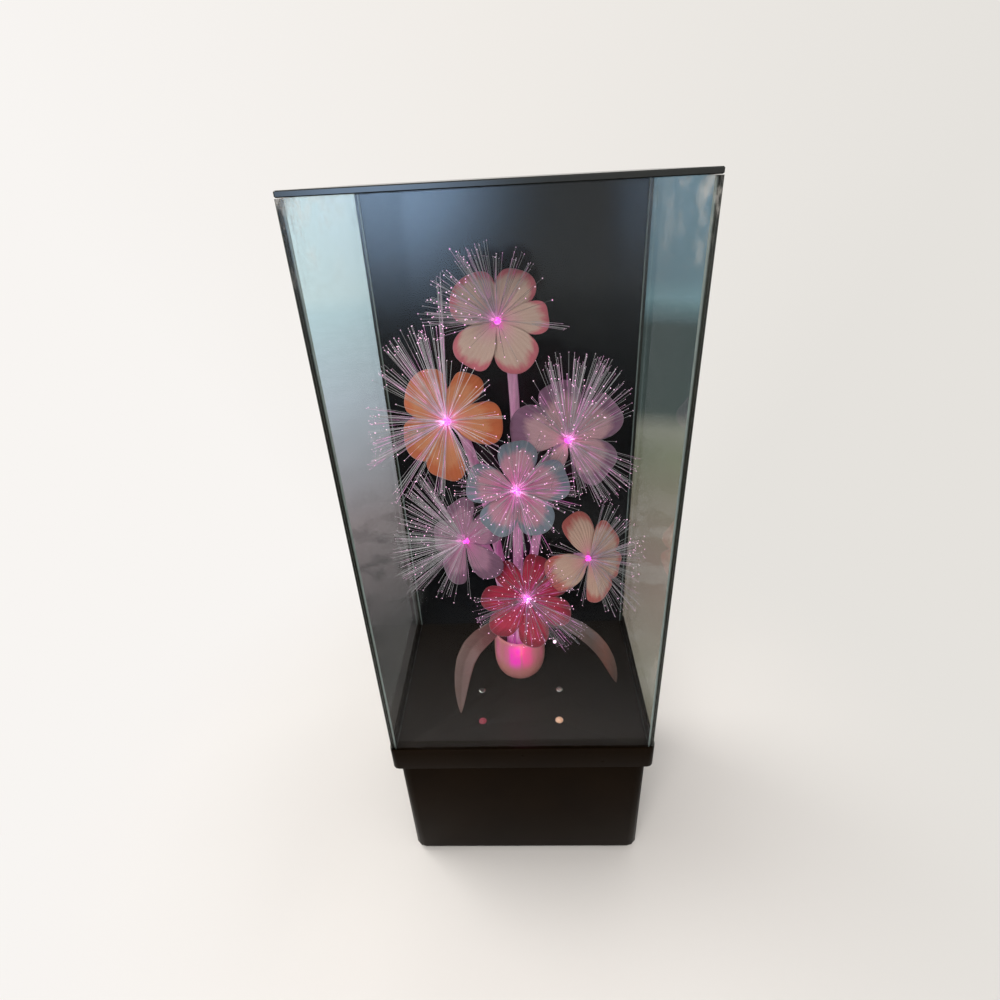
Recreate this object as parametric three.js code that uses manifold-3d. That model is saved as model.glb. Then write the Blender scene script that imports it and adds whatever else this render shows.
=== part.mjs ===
// Fiber optic flower lamp: a bouquet with sprays of optical fibres, in a lift-off display case on a lamp base.
// Millimetres, +Z up. The front faces -Y, and the origin is the middle of the face that the lamp stands on.
import * as THREE from 'three';
import { mergeVertices } from 'three/addons/utils/BufferGeometryUtils.js';
import Module from 'manifold-3d';

const wasm = await Module();
wasm.setup();

// Driving sizes
const caseWidth = 200;
const caseDepth = 150;
const caseHeight = 385;
const paneThickness = 3;
const deckHeight = 135;
const restGap = 0.3;
const slideGap = 0.4;
const overrun = 1;
const weldDistance = 0.0005;

// Rim and deck
const deckThickness = 3;
const rimWall = 1.2;
const rimEdgeShare = 1 / 3;
const rimHeight = 5;
const rimCornerRadius = 5;
const pocketCornerRadius = 0.8;
const skirtDrop = 18;
const skirtWall = 3.4;
const skirtEdgeRadius = 3;

// Moulded tub
const tubWall = 2.6;
const tubTaper = 0.6;
const tubCornerRadius = 9;
const tubFootRadius = 3;
const footStand = 3;
const coverThickness = 3;
const postRadius = 4.5;
const postPilotRadius = 1.4;

// Bouquet
const bouquetShare = 0.2;
const bouquetY = bouquetShare * caseDepth / 2;
const sleeveRadius = 3.5;
const sleeveWall = 0.6;
const bundleRadius = 2.2;
const petalReach = 33;
const petalThickness = 0.8;
const fibreReach = 50;
const fibreRadius = 0.36;
const fibresPerFlower = 44;

// Light engine
const ferruleBore = 7.6;
const ferruleWall = 1.4;

// Shape helpers

function solidOf(geometry) {
  const bare = geometry.index ? geometry.toNonIndexed() : geometry.clone();
  bare.deleteAttribute('normal');
  bare.deleteAttribute('uv');
  const merged = mergeVertices(bare, weldDistance);
  const triVerts = new Uint32Array(merged.index.array);
  const vertProperties = new Float32Array(merged.attributes.position.array);
  if (signedVolume(vertProperties, triVerts) < 0) triVerts.reverse();
  return new wasm.Manifold(new wasm.Mesh({ numProp: 3, vertProperties, triVerts }));
}

function signedVolume(points, corners) {
  const [a, b, c] = [new THREE.Vector3(), new THREE.Vector3(), new THREE.Vector3()];
  let sum = 0;
  for (let i = 0; i < corners.length; i += 3) {
    a.fromArray(points, corners[i] * 3);
    b.fromArray(points, corners[i + 1] * 3);
    c.fromArray(points, corners[i + 2] * 3);
    sum += a.dot(b.cross(c));
  }
  return sum;
}

function geometryOf(solid) {
  const { vertProperties, triVerts } = solid.getMesh();
  const geometry = new THREE.BufferGeometry();
  geometry.setAttribute('position', new THREE.BufferAttribute(vertProperties, 3));
  geometry.setIndex(new THREE.BufferAttribute(triVerts, 1));
  const faceted = geometry.toNonIndexed();
  faceted.computeVertexNormals();
  return faceted;
}

function cut(body, ...tools) {
  return geometryOf(tools.reduce((left, tool) => left.subtract(solidOf(tool)), solidOf(body)));
}

function join(...pieces) {
  return geometryOf(pieces.map(solidOf).reduce((whole, piece) => whole.add(piece)));
}

// A skin through rings of equal point counts. A joined loft closes on itself, and any other gets flat ends.
function loft(rings, joined = false) {
  const count = rings[0].length;
  const points = rings.flat();
  const faces = [];
  const bands = joined ? rings.length : rings.length - 1;
  for (let band = 0; band < bands; band++) {
    const low = band * count;
    const high = ((band + 1) % rings.length) * count;
    for (let i = 0; i < count; i++) {
      const next = (i + 1) % count;
      faces.push(low + i, low + next, high + next);
      faces.push(low + i, high + next, high + i);
    }
  }
  if (!joined) {
    const last = points.length - count;
    for (let i = 1; i < count - 1; i++) {
      faces.push(0, i + 1, i);
      faces.push(last, last + i, last + i + 1);
    }
  }
  const geometry = new THREE.BufferGeometry().setFromPoints(points);
  geometry.setIndex(faces);
  return geometryOf(solidOf(geometry));
}

function roundedRing(halfX, halfY, radius, z, cornerSteps = 3) {
  const ring = [];
  for (let corner = 0; corner < 4; corner++) {
    const signX = corner === 0 || corner === 3 ? 1 : -1;
    const signY = corner < 2 ? 1 : -1;
    for (let step = 0; step <= cornerSteps; step++) {
      const angle = (corner + step / cornerSteps) * Math.PI / 2;
      const x = signX * (halfX - radius) + radius * Math.cos(angle);
      const y = signY * (halfY - radius) + radius * Math.sin(angle);
      ring.push(new THREE.Vector3(x, y, z));
    }
  }
  return ring;
}

function roundedSlab(halfX, halfY, radius, low, high, cornerSteps = 3) {
  return loft([low, high].map((z) => roundedRing(halfX, halfY, radius, z, cornerSteps)));
}

function slab(sizeX, sizeY, low, high) {
  return new THREE.BoxGeometry(sizeX, sizeY, high - low).translate(0, 0, (low + high) / 2);
}

function rod(radius, low, high, sides = 16) {
  const turn = Math.PI / 2;
  const cylinder = new THREE.CylinderGeometry(radius, radius, high - low, sides);
  return cylinder.rotateX(turn).translate(0, 0, (low + high) / 2);
}

// A profile of [radius, height] pairs turned round Z. It starts and ends on the axis, or closes on itself.
function turned(profile, sides = 24) {
  const points = profile.map(([radius, height]) => new THREE.Vector2(radius, height));
  return geometryOf(solidOf(new THREE.LatheGeometry(points, sides).rotateX(Math.PI / 2)));
}

// A round bar through points, or a tube if it has a bore. Its sections are square to the run at every point.
function sweep(points, radius, sides, bore = 0) {
  const ringsOf = (size) => points.map((point, i) => {
    const next = points[Math.min(i + 1, points.length - 1)];
    const along = next.clone().sub(points[Math.max(i - 1, 0)]).normalize();
    const side = new THREE.Vector3(1, 0, 0).addScaledVector(along, -along.x).normalize();
    const up = new THREE.Vector3().crossVectors(along, side);
    return Array.from({ length: sides }, (_, corner) => {
      const angle = 2 * Math.PI * corner / sides;
      return point.clone().addScaledVector(side, size * Math.cos(angle)).addScaledVector(up, size * Math.sin(angle));
    });
  });
  return bore ? loft([...ringsOf(radius), ...ringsOf(bore).reverse()], true) : loft(ringsOf(radius));
}

// Corner radius of a hole with flat sides that a round piece of the given radius passes with a gap.
function holeRadius(radius, sides, gap = restGap) {
  return (radius + gap) / Math.cos(Math.PI / sides);
}

const lamp = new THREE.Group();
lamp.name = 'fiber_optic_lamp';

function add(group, name, geometry, look, position = [0, 0, 0]) {
  const mesh = new THREE.Mesh(geometry, new THREE.MeshStandardMaterial(look));
  mesh.name = name;
  mesh.position.set(...position);
  group.add(mesh);
  return mesh;
}

const looks = {
  clearAcrylic: { color: 0xb8c8cc, roughness: 0.05, transparent: true, opacity: 0.25 },
  blackAcrylic: { color: 0x1c1f22, roughness: 0.12 },
  blackMoulding: { color: 0x1a1512, roughness: 0.3 },
  rubber: { color: 0x141414, roughness: 0.9 },
  pinkTube: { color: 0x9a6f83, roughness: 0.25, transparent: true, opacity: 0.6 },
  fibre: { color: 0xd9cfd6, roughness: 0.2 },
  cup: { color: 0xd79a9c, roughness: 0.35, transparent: true, opacity: 0.8 },
  foam: { color: 0x4a5a3c, roughness: 0.95 },
  leaf: { color: 0x5b5a43, roughness: 0.7 },
  steel: { color: 0xb9babd, roughness: 0.3, metalness: 1 },
  brass: { color: 0xb8a060, roughness: 0.35, metalness: 1 },
  glass: { color: 0xeef2f4, roughness: 0.05, transparent: true, opacity: 0.4 },
  ceramic: { color: 0xe7e2d6, roughness: 0.6 },
  switchMoulding: { color: 0x202020, roughness: 0.45 },
};

// Display case: five plates glued edge to edge, standing on the deck inside the rim

const caseGroup = new THREE.Group();
caseGroup.position.z = deckHeight;
lamp.add(caseGroup);

const wallTop = caseHeight - paneThickness - restGap;
const sideDepth = caseDepth - 2 * (paneThickness + restGap);
const frontPlace = (caseDepth - paneThickness) / 2;
const sidePlace = (caseWidth - paneThickness) / 2;
const edgeChamfer = 0.5;

// A sheet that stands on its edge, with the chamfered long edges that a router leaves.
function sheet(width, height) {
  const outline = new THREE.Shape();
  const half = width / 2;
  const face = paneThickness / 2;
  outline.moveTo(-half + edgeChamfer, -face);
  outline.lineTo(half - edgeChamfer, -face);
  outline.lineTo(half, -face + edgeChamfer);
  outline.lineTo(half, face - edgeChamfer);
  outline.lineTo(half - edgeChamfer, face);
  outline.lineTo(-half + edgeChamfer, face);
  outline.lineTo(-half, face - edgeChamfer);
  outline.lineTo(-half, -face + edgeChamfer);
  return new THREE.ExtrudeGeometry(outline, { depth: height, bevelEnabled: false });
}

add(caseGroup, 'front_pane', sheet(caseWidth, wallTop), looks.clearAcrylic, [0, -frontPlace, 0]);
add(caseGroup, 'back_panel', sheet(caseWidth, wallTop), looks.blackAcrylic, [0, frontPlace, 0]);
for (const [name, side] of [['left_pane', -1], ['right_pane', 1]]) {
  const pane = add(caseGroup, name, sheet(sideDepth, wallTop), looks.clearAcrylic, [side * sidePlace, 0, 0]);
  pane.rotation.z = Math.PI / 2;
}
const topRings = [
  roundedRing(caseWidth / 2 - edgeChamfer, caseDepth / 2 - edgeChamfer, pocketCornerRadius, caseHeight - paneThickness),
  roundedRing(caseWidth / 2, caseDepth / 2, pocketCornerRadius, caseHeight - paneThickness + edgeChamfer),
  roundedRing(caseWidth / 2, caseDepth / 2, pocketCornerRadius, caseHeight - edgeChamfer),
  roundedRing(caseWidth / 2 - edgeChamfer, caseDepth / 2 - edgeChamfer, pocketCornerRadius, caseHeight),
];
add(caseGroup, 'top_panel', loft(topRings), looks.blackAcrylic);

// Base: the deck moulding with its rim and skirt sits over the tub

const pocketHalfX = caseWidth / 2 + slideGap;
const pocketHalfY = caseDepth / 2 + slideGap;
const rimHalfX = pocketHalfX + rimWall;
const rimHalfY = pocketHalfY + rimWall;
const deckUnderside = deckHeight - deckThickness;
const skirtLow = deckHeight - skirtDrop;
const skirtInnerX = rimHalfX - skirtWall;
const skirtInnerY = rimHalfY - skirtWall;
const skirtInnerRadius = rimCornerRadius + tubWall;

const screwAcross = 33;
const screwAlong = 30.5;
const screwPlaces = [];
for (const signY of [-1, 1]) {
  for (const signX of [-1, 1]) screwPlaces.push([signX * screwAcross, bouquetY + signY * screwAlong]);
}
const screwShankRadius = 1.5;
const screwHeadRadius = 2.9;
const screwHeadHeight = 1.6;
const screwDomeShare = 0.85;
const screwShoulderShare = 0.7;
const chassisThickness = 1.5;
const spacerHeight = 15;
const chassisTop = deckUnderside - spacerHeight;
const spacerRadius = 4;

const jewelRadius = 2.4;
const jewelFlangeRadius = 3.2;
const jewelFlangeHeight = 0.6;
const jewelDome = 1.2;
const jewelAcross = 31;
const jewelY = -46;

const ferruleRadius = ferruleBore + ferruleWall;
const ferruleDrop = 16;
const ferruleLow = chassisTop - ferruleDrop;
const ferruleFlangeRadius = 11;
const ferruleFlange = 1.4;
const bossWall = 2.2;
const bossRadius = ferruleRadius + restGap + bossWall;
const bossLow = chassisTop - chassisThickness;

function deckShape() {
  const edgeShares = [[1, 0], [0.3, 0.12], [0, 0.5], [0, 1]];
  const rings = edgeShares.map(([inShare, upShare]) => roundedRing(
    rimHalfX - inShare * skirtEdgeRadius, rimHalfY - inShare * skirtEdgeRadius,
    rimCornerRadius - inShare * skirtEdgeRadius / 2, skirtLow + upShare * skirtEdgeRadius));
  const rimTop = deckHeight + rimHeight;
  const rimEdge = rimEdgeShare * rimWall;
  rings.push(roundedRing(rimHalfX, rimHalfY, rimCornerRadius, rimTop - rimEdge));
  rings.push(roundedRing(rimHalfX - rimEdge, rimHalfY - rimEdge, rimCornerRadius - rimEdge, rimTop));
  const screwHole = rod(screwShankRadius + restGap, chassisTop, rimTop, 8);
  const holes = screwPlaces.map(([x, y]) => screwHole.clone().translate(x, y, 0));
  for (const side of [-1, 1]) {
    const hole = rod(jewelRadius + restGap, deckUnderside - overrun, rimTop, 12);
    holes.push(hole.translate(side * jewelAcross, jewelY, 0));
  }
  const bosses = screwPlaces.map(([x, y]) => (
    rod(spacerRadius, chassisTop + restGap, deckUnderside + overrun, 10).translate(x, y, 0)));
  bosses.push(rod(bossRadius, bossLow, deckUnderside + overrun, 16).translate(0, bouquetY, 0));
  const hollow = cut(loft(rings),
    roundedSlab(pocketHalfX, pocketHalfY, pocketCornerRadius, deckHeight, rimTop + overrun, 1),
    roundedSlab(skirtInnerX, skirtInnerY, skirtInnerRadius, skirtLow - overrun, deckUnderside));
  const ferruleHole = rod(ferruleRadius + restGap, bossLow - overrun, rimTop, 16).translate(0, bouquetY, 0);
  return cut(join(hollow, ...bosses), ferruleHole, ...holes);
}
add(lamp, 'deck_tray', deckShape(), looks.blackMoulding);

const tubTopX = skirtInnerX - restGap;
const tubTopY = skirtInnerY - restGap;
const tubTop = deckUnderside - restGap;
const tubHeight = tubTop - footStand;
const coverGap = 0.5;
const postInset = 13;
const coverTop = footStand + coverThickness;
const postLow = coverTop + restGap;
const postHigh = 24;

// Half size of the tub's outside at a height, less an inset.
function tubHalf(topHalf, z, inset = 0) {
  return topHalf - tubTaper * (tubTop - z) / tubHeight - inset;
}

function tubRing(z, inset) {
  const radius = Math.max(tubCornerRadius - inset, tubFootRadius);
  return roundedRing(tubHalf(tubTopX, z, inset), tubHalf(tubTopY, z, inset), radius, z);
}

const rearZ = 36;
const switchX = -50;
const inletX = 50;
const switchBodyX = 19;
const switchBodyZ = 13;
const inletRadius = 5.5;
const innerRearY = tubHalf(tubTopY, rearZ, tubWall);
const outerRearY = tubHalf(tubTopY, rearZ);

const postPlaces = [];
for (const signX of [-1, 1]) {
  for (const signY of [-1, 1]) {
    postPlaces.push([
      signX * (tubHalf(tubTopX, footStand) - postInset),
      signY * (tubHalf(tubTopY, footStand) - postInset)]);
  }
}

function tubShape() {
  const shell = loft([
    tubRing(footStand, tubFootRadius / 2),
    tubRing(footStand + tubFootRadius / 2, tubFootRadius / 8),
    tubRing(footStand + tubFootRadius, 0),
    tubRing(tubTop, 0),
    tubRing(tubTop, tubWall),
    tubRing(footStand, tubWall),
  ], true);
  const posts = postPlaces.map(([x, y]) => {
    const web = slab(postInset, tubWall, postLow, postHigh);
    const webX = x + Math.sign(x) * postInset / 2;
    return join(rod(postRadius, postLow, postHigh, 10).translate(x, y, 0), web.translate(webX, y, 0));
  });
  const pilot = rod(postPilotRadius, postLow - overrun, postHigh - tubWall, 6);
  const pilots = postPlaces.map(([x, y]) => pilot.clone().translate(x, y, 0));
  const wallCut = 4 * tubWall;
  const switchHole = new THREE.BoxGeometry(switchBodyX + 2 * restGap, wallCut, switchBodyZ + 2 * restGap);
  const inletHole = rod(inletRadius + restGap, -wallCut, wallCut, 16).rotateX(Math.PI / 2);
  return cut(join(shell, ...posts), ...pilots,
    switchHole.translate(switchX, outerRearY, rearZ), inletHole.translate(inletX, outerRearY, rearZ));
}
add(lamp, 'base_housing', tubShape(), looks.blackMoulding);

const footRadius = 8;
const footPegRadius = 3;
const footInset = 15;
const coverHalfX = tubHalf(tubTopX, footStand, tubWall) - coverGap;
const coverHalfY = tubHalf(tubTopY, footStand, tubWall) - coverGap;
const coverScrewRadius = 1.9;
const ventWidth = 3;
const ventLength = 34;
const ventPitch = 9;
const ventCount = 7;
const footPlaces = [];
for (const signX of [-1, 1]) {
  for (const signY of [-1, 1]) {
    footPlaces.push([signX * (coverHalfX - footInset - postInset), signY * (coverHalfY - footInset)]);
  }
}

function coverShape() {
  const radius = tubCornerRadius - tubWall - coverGap;
  const tools = postPlaces.map(([x, y]) => rod(coverScrewRadius, 0, coverTop + overrun, 8).translate(x, y, 0));
  const pegHole = rod(footPegRadius + restGap, 0, coverTop + overrun, 8);
  for (const [x, y] of footPlaces) tools.push(pegHole.clone().translate(x, y, 0));
  for (let i = 0; i < ventCount; i++) {
    const x = (i - (ventCount - 1) / 2) * ventPitch;
    tools.push(slab(ventWidth, ventLength, 0, coverTop + overrun).translate(x, -ventLength, 0));
  }
  return cut(roundedSlab(coverHalfX, coverHalfY, radius, footStand, coverTop), ...tools);
}
add(lamp, 'bottom_cover', coverShape(), looks.blackMoulding);

const footEdge = 1;
const footProfile = [
  [0, 0], [footRadius - footEdge, 0], [footRadius, footEdge], [footRadius, footStand - restGap],
  [footPegRadius, footStand - restGap], [footPegRadius, coverTop], [0, coverTop]];
footPlaces.forEach(([x, y], i) => {
  add(lamp, `foot_${i + 1}`, turned(footProfile, 10), looks.rubber, [x, y, 0]);
});

const jewelProfile = [
  [0, -deckThickness], [jewelRadius, -deckThickness], [jewelRadius, restGap], [jewelFlangeRadius, restGap],
  [jewelFlangeRadius, restGap + jewelFlangeHeight], [jewelRadius, restGap + jewelFlangeHeight + jewelDome / 2],
  [0, restGap + jewelFlangeHeight + jewelDome]];
const jewelLook = (color) => ({ color, roughness: 0.1, emissive: color, emissiveIntensity: 0.5 });
add(lamp, 'deck_jewel_left', turned(jewelProfile, 10), jewelLook(0xc2405f), [-jewelAcross, jewelY, deckHeight]);
add(lamp, 'deck_jewel_right', turned(jewelProfile, 10), jewelLook(0xf6e3cc), [jewelAcross, jewelY, deckHeight]);

// Bouquet, in a group whose origin is the middle of the cup on the deck

const bouquet = new THREE.Group();
bouquet.position.set(0, bouquetY, deckHeight);
lamp.add(bouquet);

const cupHeight = 44;
const cupRadius = 21.5;
const cupWall = 1.6;
const cupFootRadius = 14;
const cupFloor = 4;
const cupHole = 8.6;
const cupMouthRadius = 20;
const cupBulgeShare = 0.42;

// Outer radius of the cup at a height: a round bottom up to the bulge, then nearly straight to the mouth.
function cupOuter(z) {
  const bulge = cupBulgeShare * cupHeight;
  if (z > bulge) return THREE.MathUtils.lerp(cupRadius, cupMouthRadius, ((z - bulge) / (cupHeight - bulge)) ** 2);
  return cupFootRadius + (cupRadius - cupFootRadius) * Math.sqrt(1 - ((bulge - z) / bulge) ** 2);
}

function cupShape() {
  const outerShares = [0, 0.04, 0.12, 0.24, 0.42, 0.7, 1];
  const foot = ferruleFlange + 2 * restGap;
  const profile = [[cupHole, foot], [ferruleFlangeRadius + restGap, foot], [ferruleFlangeRadius + restGap, restGap]];
  for (const share of outerShares) profile.push([cupOuter(share * cupHeight), Math.max(share * cupHeight, restGap)]);
  for (const share of outerShares.slice(2).reverse()) {
    profile.push([cupOuter(share * cupHeight) - cupWall, Math.max(share * cupHeight, cupFloor)]);
  }
  profile.push([cupHole, cupFloor], [cupHole, foot]);
  return turned(profile, 18);
}
add(bouquet, 'pot', cupShape(), looks.cup);

const seatPitch = 2 * sleeveRadius + 0.8;
const holderLow = 16;
const holderHigh = 22;
const sleeveFoot = 12;
const bladeRootX = 14.2;
const bladeRootWidth = 7;
const bladeThickness = 0.9;
const bladeFold = 0.12;
const bladeRootLow = 20;

// Where each flower stands. Shares are of the half width, half depth and height inside the case.
const insideHalfX = caseWidth / 2 - paneThickness;
const insideHalfY = caseDepth / 2 - paneThickness;
const insideHeight = caseHeight - paneThickness;
const flowers = [
  { name: 'top', headShares: [-0.05, -0.07, 0.809], turn: -5, tilt: 15, seat: 90, sizeShare: 0.96, twist: 18 },
  { name: 'left', headShares: [-0.415, -0.17, 0.648], turn: -14, tilt: 20, seat: 150, sizeShare: 1.02, twist: 10 },
  { name: 'right', headShares: [0.4, -0.07, 0.597], turn: 12, tilt: 22, seat: 30, sizeShare: 1.12, twist: 28 },
  { name: 'centre', headShares: [0.035, -0.43, 0.535], turn: 0, tilt: 30, seat: null, sizeShare: 0.98, twist: 18 },
  { name: 'low_left', headShares: [-0.36, -0.21, 0.407], turn: -30, tilt: 25, seat: 210, sizeShare: 1, twist: 40 },
  { name: 'low_right', headShares: [0.565, -0.12, 0.347], turn: 30, tilt: 25, seat: 330, sizeShare: 1, twist: 4 },
  { name: 'bottom', headShares: [0.08, -0.39, 0.292], turn: 5, tilt: 36, seat: 270, sizeShare: 1.02, twist: 20 },
];
const sheetBack = 3.5;
const collarLength = 6;
const bundleFront = 1.4;
const domeRadius = 3.6;
const leadLength = 32;
const riseShare = 0.42;
const trunkOffset = 4.2;
const sleeveSides = 6;
const holderHoleSides = 8;
const bendSpacing = 55;

for (const flower of flowers) {
  const turn = THREE.MathUtils.degToRad(flower.turn);
  const tilt = THREE.MathUtils.degToRad(flower.tilt);
  flower.normal = new THREE.Vector3(
    Math.sin(turn) * Math.cos(tilt), -Math.cos(turn) * Math.cos(tilt), Math.sin(tilt));
  const [acrossShare, alongShare, upShare] = flower.headShares;
  flower.head = new THREE.Vector3(
    acrossShare * insideHalfX, alongShare * insideHalfY - bouquetY, upShare * insideHeight);
  const angle = THREE.MathUtils.degToRad(flower.seat ?? 0);
  const reach = flower.seat === null ? 0 : seatPitch;
  flower.foot = new THREE.Vector3(reach * Math.cos(angle), reach * Math.sin(angle), sleeveFoot);
  const rise = flower.foot.clone().setZ(holderHigh + overrun);
  const end = flower.head.clone().addScaledVector(flower.normal, -sheetBack);
  const bendEnd = end.clone().addScaledVector(flower.normal, -collarLength - overrun);
  const riseLength = riseShare * (bendEnd.z - rise.z);
  const bend = new THREE.CubicBezierCurve3(
    rise, rise.clone().setZ(rise.z + riseLength),
    bendEnd.clone().addScaledVector(flower.normal, collarLength - leadLength), bendEnd);
  const bendSteps = 4 + Math.round(bend.getLength() / bendSpacing);
  flower.stem = [flower.foot, ...bend.getSpacedPoints(bendSteps), end];
  const bore = sleeveRadius - sleeveWall;
  add(bouquet, `stem_sleeve_${flower.name}`, sweep(flower.stem, sleeveRadius, sleeveSides, bore), looks.pinkTube);
}

function holderShape() {
  const radius = cupOuter(holderLow) - cupWall - restGap;
  const topRadius = cupOuter(holderHigh) - cupWall - restGap;
  const plug = turned([[0, holderLow], [radius, holderLow], [topRadius, holderHigh], [0, holderHigh]], 18);
  const holes = flowers.map(({ foot }) => (
    rod(holeRadius(sleeveRadius, holderHoleSides), holderLow - overrun, holderHigh + overrun, holderHoleSides)
      .translate(foot.x, foot.y, 0)));
  const slotWidth = bladeThickness + bladeFold * bladeRootWidth + 2 * restGap;
  const slots = [-1, 1].map((side) => (
    slab(bladeRootWidth + 2 * restGap, slotWidth, bladeRootLow - restGap, holderHigh + overrun)
      .translate(side * bladeRootX, 0, 0)));
  return cut(plug, ...holes, ...slots);
}
add(bouquet, 'stem_holder', holderShape(), looks.foam);

// A silk flower is one die-cut sheet with five lobes, pressed into a shallow bowl, on a collar that grips the sleeve.
const petalCount = 5;
const lobeShares = [0, 0.11, 0.35, 0.65, 0.89];
const lobeReachShares = [0.4, 0.84, 1, 1, 0.84];
const ringShares = [0, 0.3, 0.66, 1];
const sheetHole = 4.3;
const bowlRise = 3;
const bowlShare = 0.75;
const tipCurl = 4.2;
const lobeRidge = 1.2;
const collarWall = 1.2;
const collarTop = 0.9;
const collarSides = 8;
const collarInner = holeRadius(sleeveRadius, collarSides);
const collarOuter = collarInner + collarWall;

function flowerShape(reach) {
  const rings = [];
  for (const side of [1, -1]) {
    const layer = ringShares.map((ringShare) => lobeRing(reach, ringShare, side * petalThickness / 2));
    rings.push(...(side === 1 ? layer : layer.reverse()));
  }
  const collarLow = -sheetBack - collarLength;
  const collar = turned([
    [collarInner, collarLow], [collarOuter, collarLow], [collarOuter, collarTop], [collarInner, collarTop],
    [collarInner, collarLow]], collarSides);
  return join(loft(rings, true), collar);
}

function lobeRing(reach, ringShare, lift) {
  const ring = [];
  for (let petal = 0; petal < petalCount; petal++) {
    lobeShares.forEach((lobeShare, i) => {
      const angle = (petal + lobeShare) * 2 * Math.PI / petalCount;
      const edge = reach * lobeReachShares[i];
      const radius = sheetHole + ringShare * (edge - sheetHole);
      const out = radius / reach;
      const ridge = lobeRidge * out * Math.sin(Math.PI * lobeShare);
      const height = bowlRise * Math.sin(Math.PI * Math.min(out, 1) * bowlShare) - tipCurl * out ** 4 + ridge;
      ring.push(new THREE.Vector3(radius * Math.cos(angle), radius * Math.sin(angle), height + lift));
    });
  }
  return ring;
}

const petalColors = {
  top: 0xd8c0a8, left: 0xc9783f, right: 0x9a7590, centre: 0x8f9c9f, low_left: 0x9a7aa0, low_right: 0xd8b79c, bottom: 0xa3243c,
};
for (const flower of flowers) {
  flower.reach = petalReach * flower.sizeShare;
  const look = { color: petalColors[flower.name], roughness: 0.8 };
  const mesh = add(bouquet, `flower_${flower.name}`, flowerShape(flower.reach), look, flower.head.toArray());
  const spin = new THREE.Quaternion().setFromAxisAngle(new THREE.Vector3(0, 0, 1), THREE.MathUtils.degToRad(flower.twist));
  mesh.quaternion.setFromUnitVectors(new THREE.Vector3(0, 0, 1), flower.normal).multiply(spin);
}

// Leaf blades: a folded strip along a bent midrib. The width follows a leaf's outline, and sideAt gives the way
// across the strip for each direction along it.
function leafShape(midrib, width, fold, steps, widthShareAt, sideAt) {
  const rings = [];
  for (let i = 0; i <= steps; i++) {
    const t = i / steps;
    const centre = midrib.getPoint(t);
    const along = midrib.getTangent(t);
    const side = sideAt(along);
    const up = new THREE.Vector3().crossVectors(along, side).normalize();
    const half = Math.max(width * widthShareAt(t) / 2, bladeThickness);
    const drop = fold * half;
    const place = (s, u) => centre.clone().addScaledVector(side, s).addScaledVector(up, u);
    rings.push([
      place(-half, -drop - bladeThickness / 2), place(0, -bladeThickness / 2), place(half, -drop - bladeThickness / 2),
      place(half, -drop + bladeThickness / 2), place(0, bladeThickness / 2), place(-half, -drop + bladeThickness / 2)]);
  }
  return loft(rings);
}

// Each blade rises from its slot in the holder, arches over the cup's mouth and comes down to the deck, with its
// flat towards the front. Its root is narrow and it swells past the cup.
const bladeWidth = 21;
const bladeSwellShare = 0.36;
const bladeSwellPower = 0.7;
const bladeLook = new THREE.Vector3(0, -0.8, 0.6);
const blades = [
  { name: 'left', side: -1, archShares: [[-0.27, 0.01, 0.142], [-0.47, -0.2, 0.125], [-0.51, -0.37, 0.06], [-0.5, -0.5, 0.008]] },
  { name: 'right', side: 1, archShares: [[0.4, 0.16, 0.138], [0.66, -0.02, 0.11], [0.78, -0.1, 0.05], [0.81, -0.14, 0.008]] },
];
for (const blade of blades) {
  const root = new THREE.Vector3(blade.side * bladeRootX, 0, bladeRootLow);
  const points = [root, root.clone().setZ((bladeRootLow + cupHeight) / 2), root.clone().setZ(cupHeight)];
  for (const [acrossShare, alongShare, upShare] of blade.archShares) {
    points.push(new THREE.Vector3(
      acrossShare * insideHalfX, alongShare * insideHalfY - bouquetY, upShare * insideHeight));
  }
  blade.midrib = new THREE.CatmullRomCurve3(points, false, 'centripetal');
  const widthShareAt = (t) => {
    const past = Math.min(Math.max(t - bladeSwellShare, 0) / (1 - bladeSwellShare), 1);
    return Math.max(bladeRootWidth / bladeWidth * Math.sqrt(1 - t), Math.sin(Math.PI * past) ** bladeSwellPower);
  };
  const sideAt = (along) => new THREE.Vector3().crossVectors(along, bladeLook).normalize();
  const shape = leafShape(blade.midrib, bladeWidth, bladeFold, 14, widthShareAt, sideAt);
  add(bouquet, `leaf_blade_${blade.name}`, shape, looks.leaf);
}

// Sprays of optical fibres. Each one is cut short where it would meet another piece of the bouquet.
const sprayAngle = 76;
const shortestFibre = 14;
const rootShare = 0.6;
const fibreClearance = 0.6;
const probeStep = 1.5;
const slabBehind = 6;
const slabFront = 6;
const goldenAngle = Math.PI * (3 - Math.sqrt(5));
const lengthShares = [1, 0.88, 0.96, 0.82, 0.93];

function sprayDirections(flower) {
  const turnTo = new THREE.Quaternion().setFromUnitVectors(new THREE.Vector3(0, 0, 1), flower.normal);
  const directions = [];
  for (let i = 0; i < fibresPerFlower; i++) {
    const capShare = (i + 0.5) / fibresPerFlower;
    const cosine = 1 - capShare * (1 - Math.cos(THREE.MathUtils.degToRad(sprayAngle)));
    const sine = Math.sqrt(1 - cosine ** 2);
    const turn = i * goldenAngle;
    directions.push(new THREE.Vector3(sine * Math.cos(turn), sine * Math.sin(turn), cosine).applyQuaternion(turnTo));
  }
  return directions;
}

function finePoints(points) {
  return new THREE.CatmullRomCurve3(points).getSpacedPoints(40);
}

const obstacles = [
  ...flowers.map((flower) => ({ owner: flower, points: finePoints(flower.stem), radius: sleeveRadius })),
  ...blades.map((blade) => ({ owner: blade, points: blade.midrib.getSpacedPoints(30), radius: bladeWidth / 2 })),
];

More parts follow.
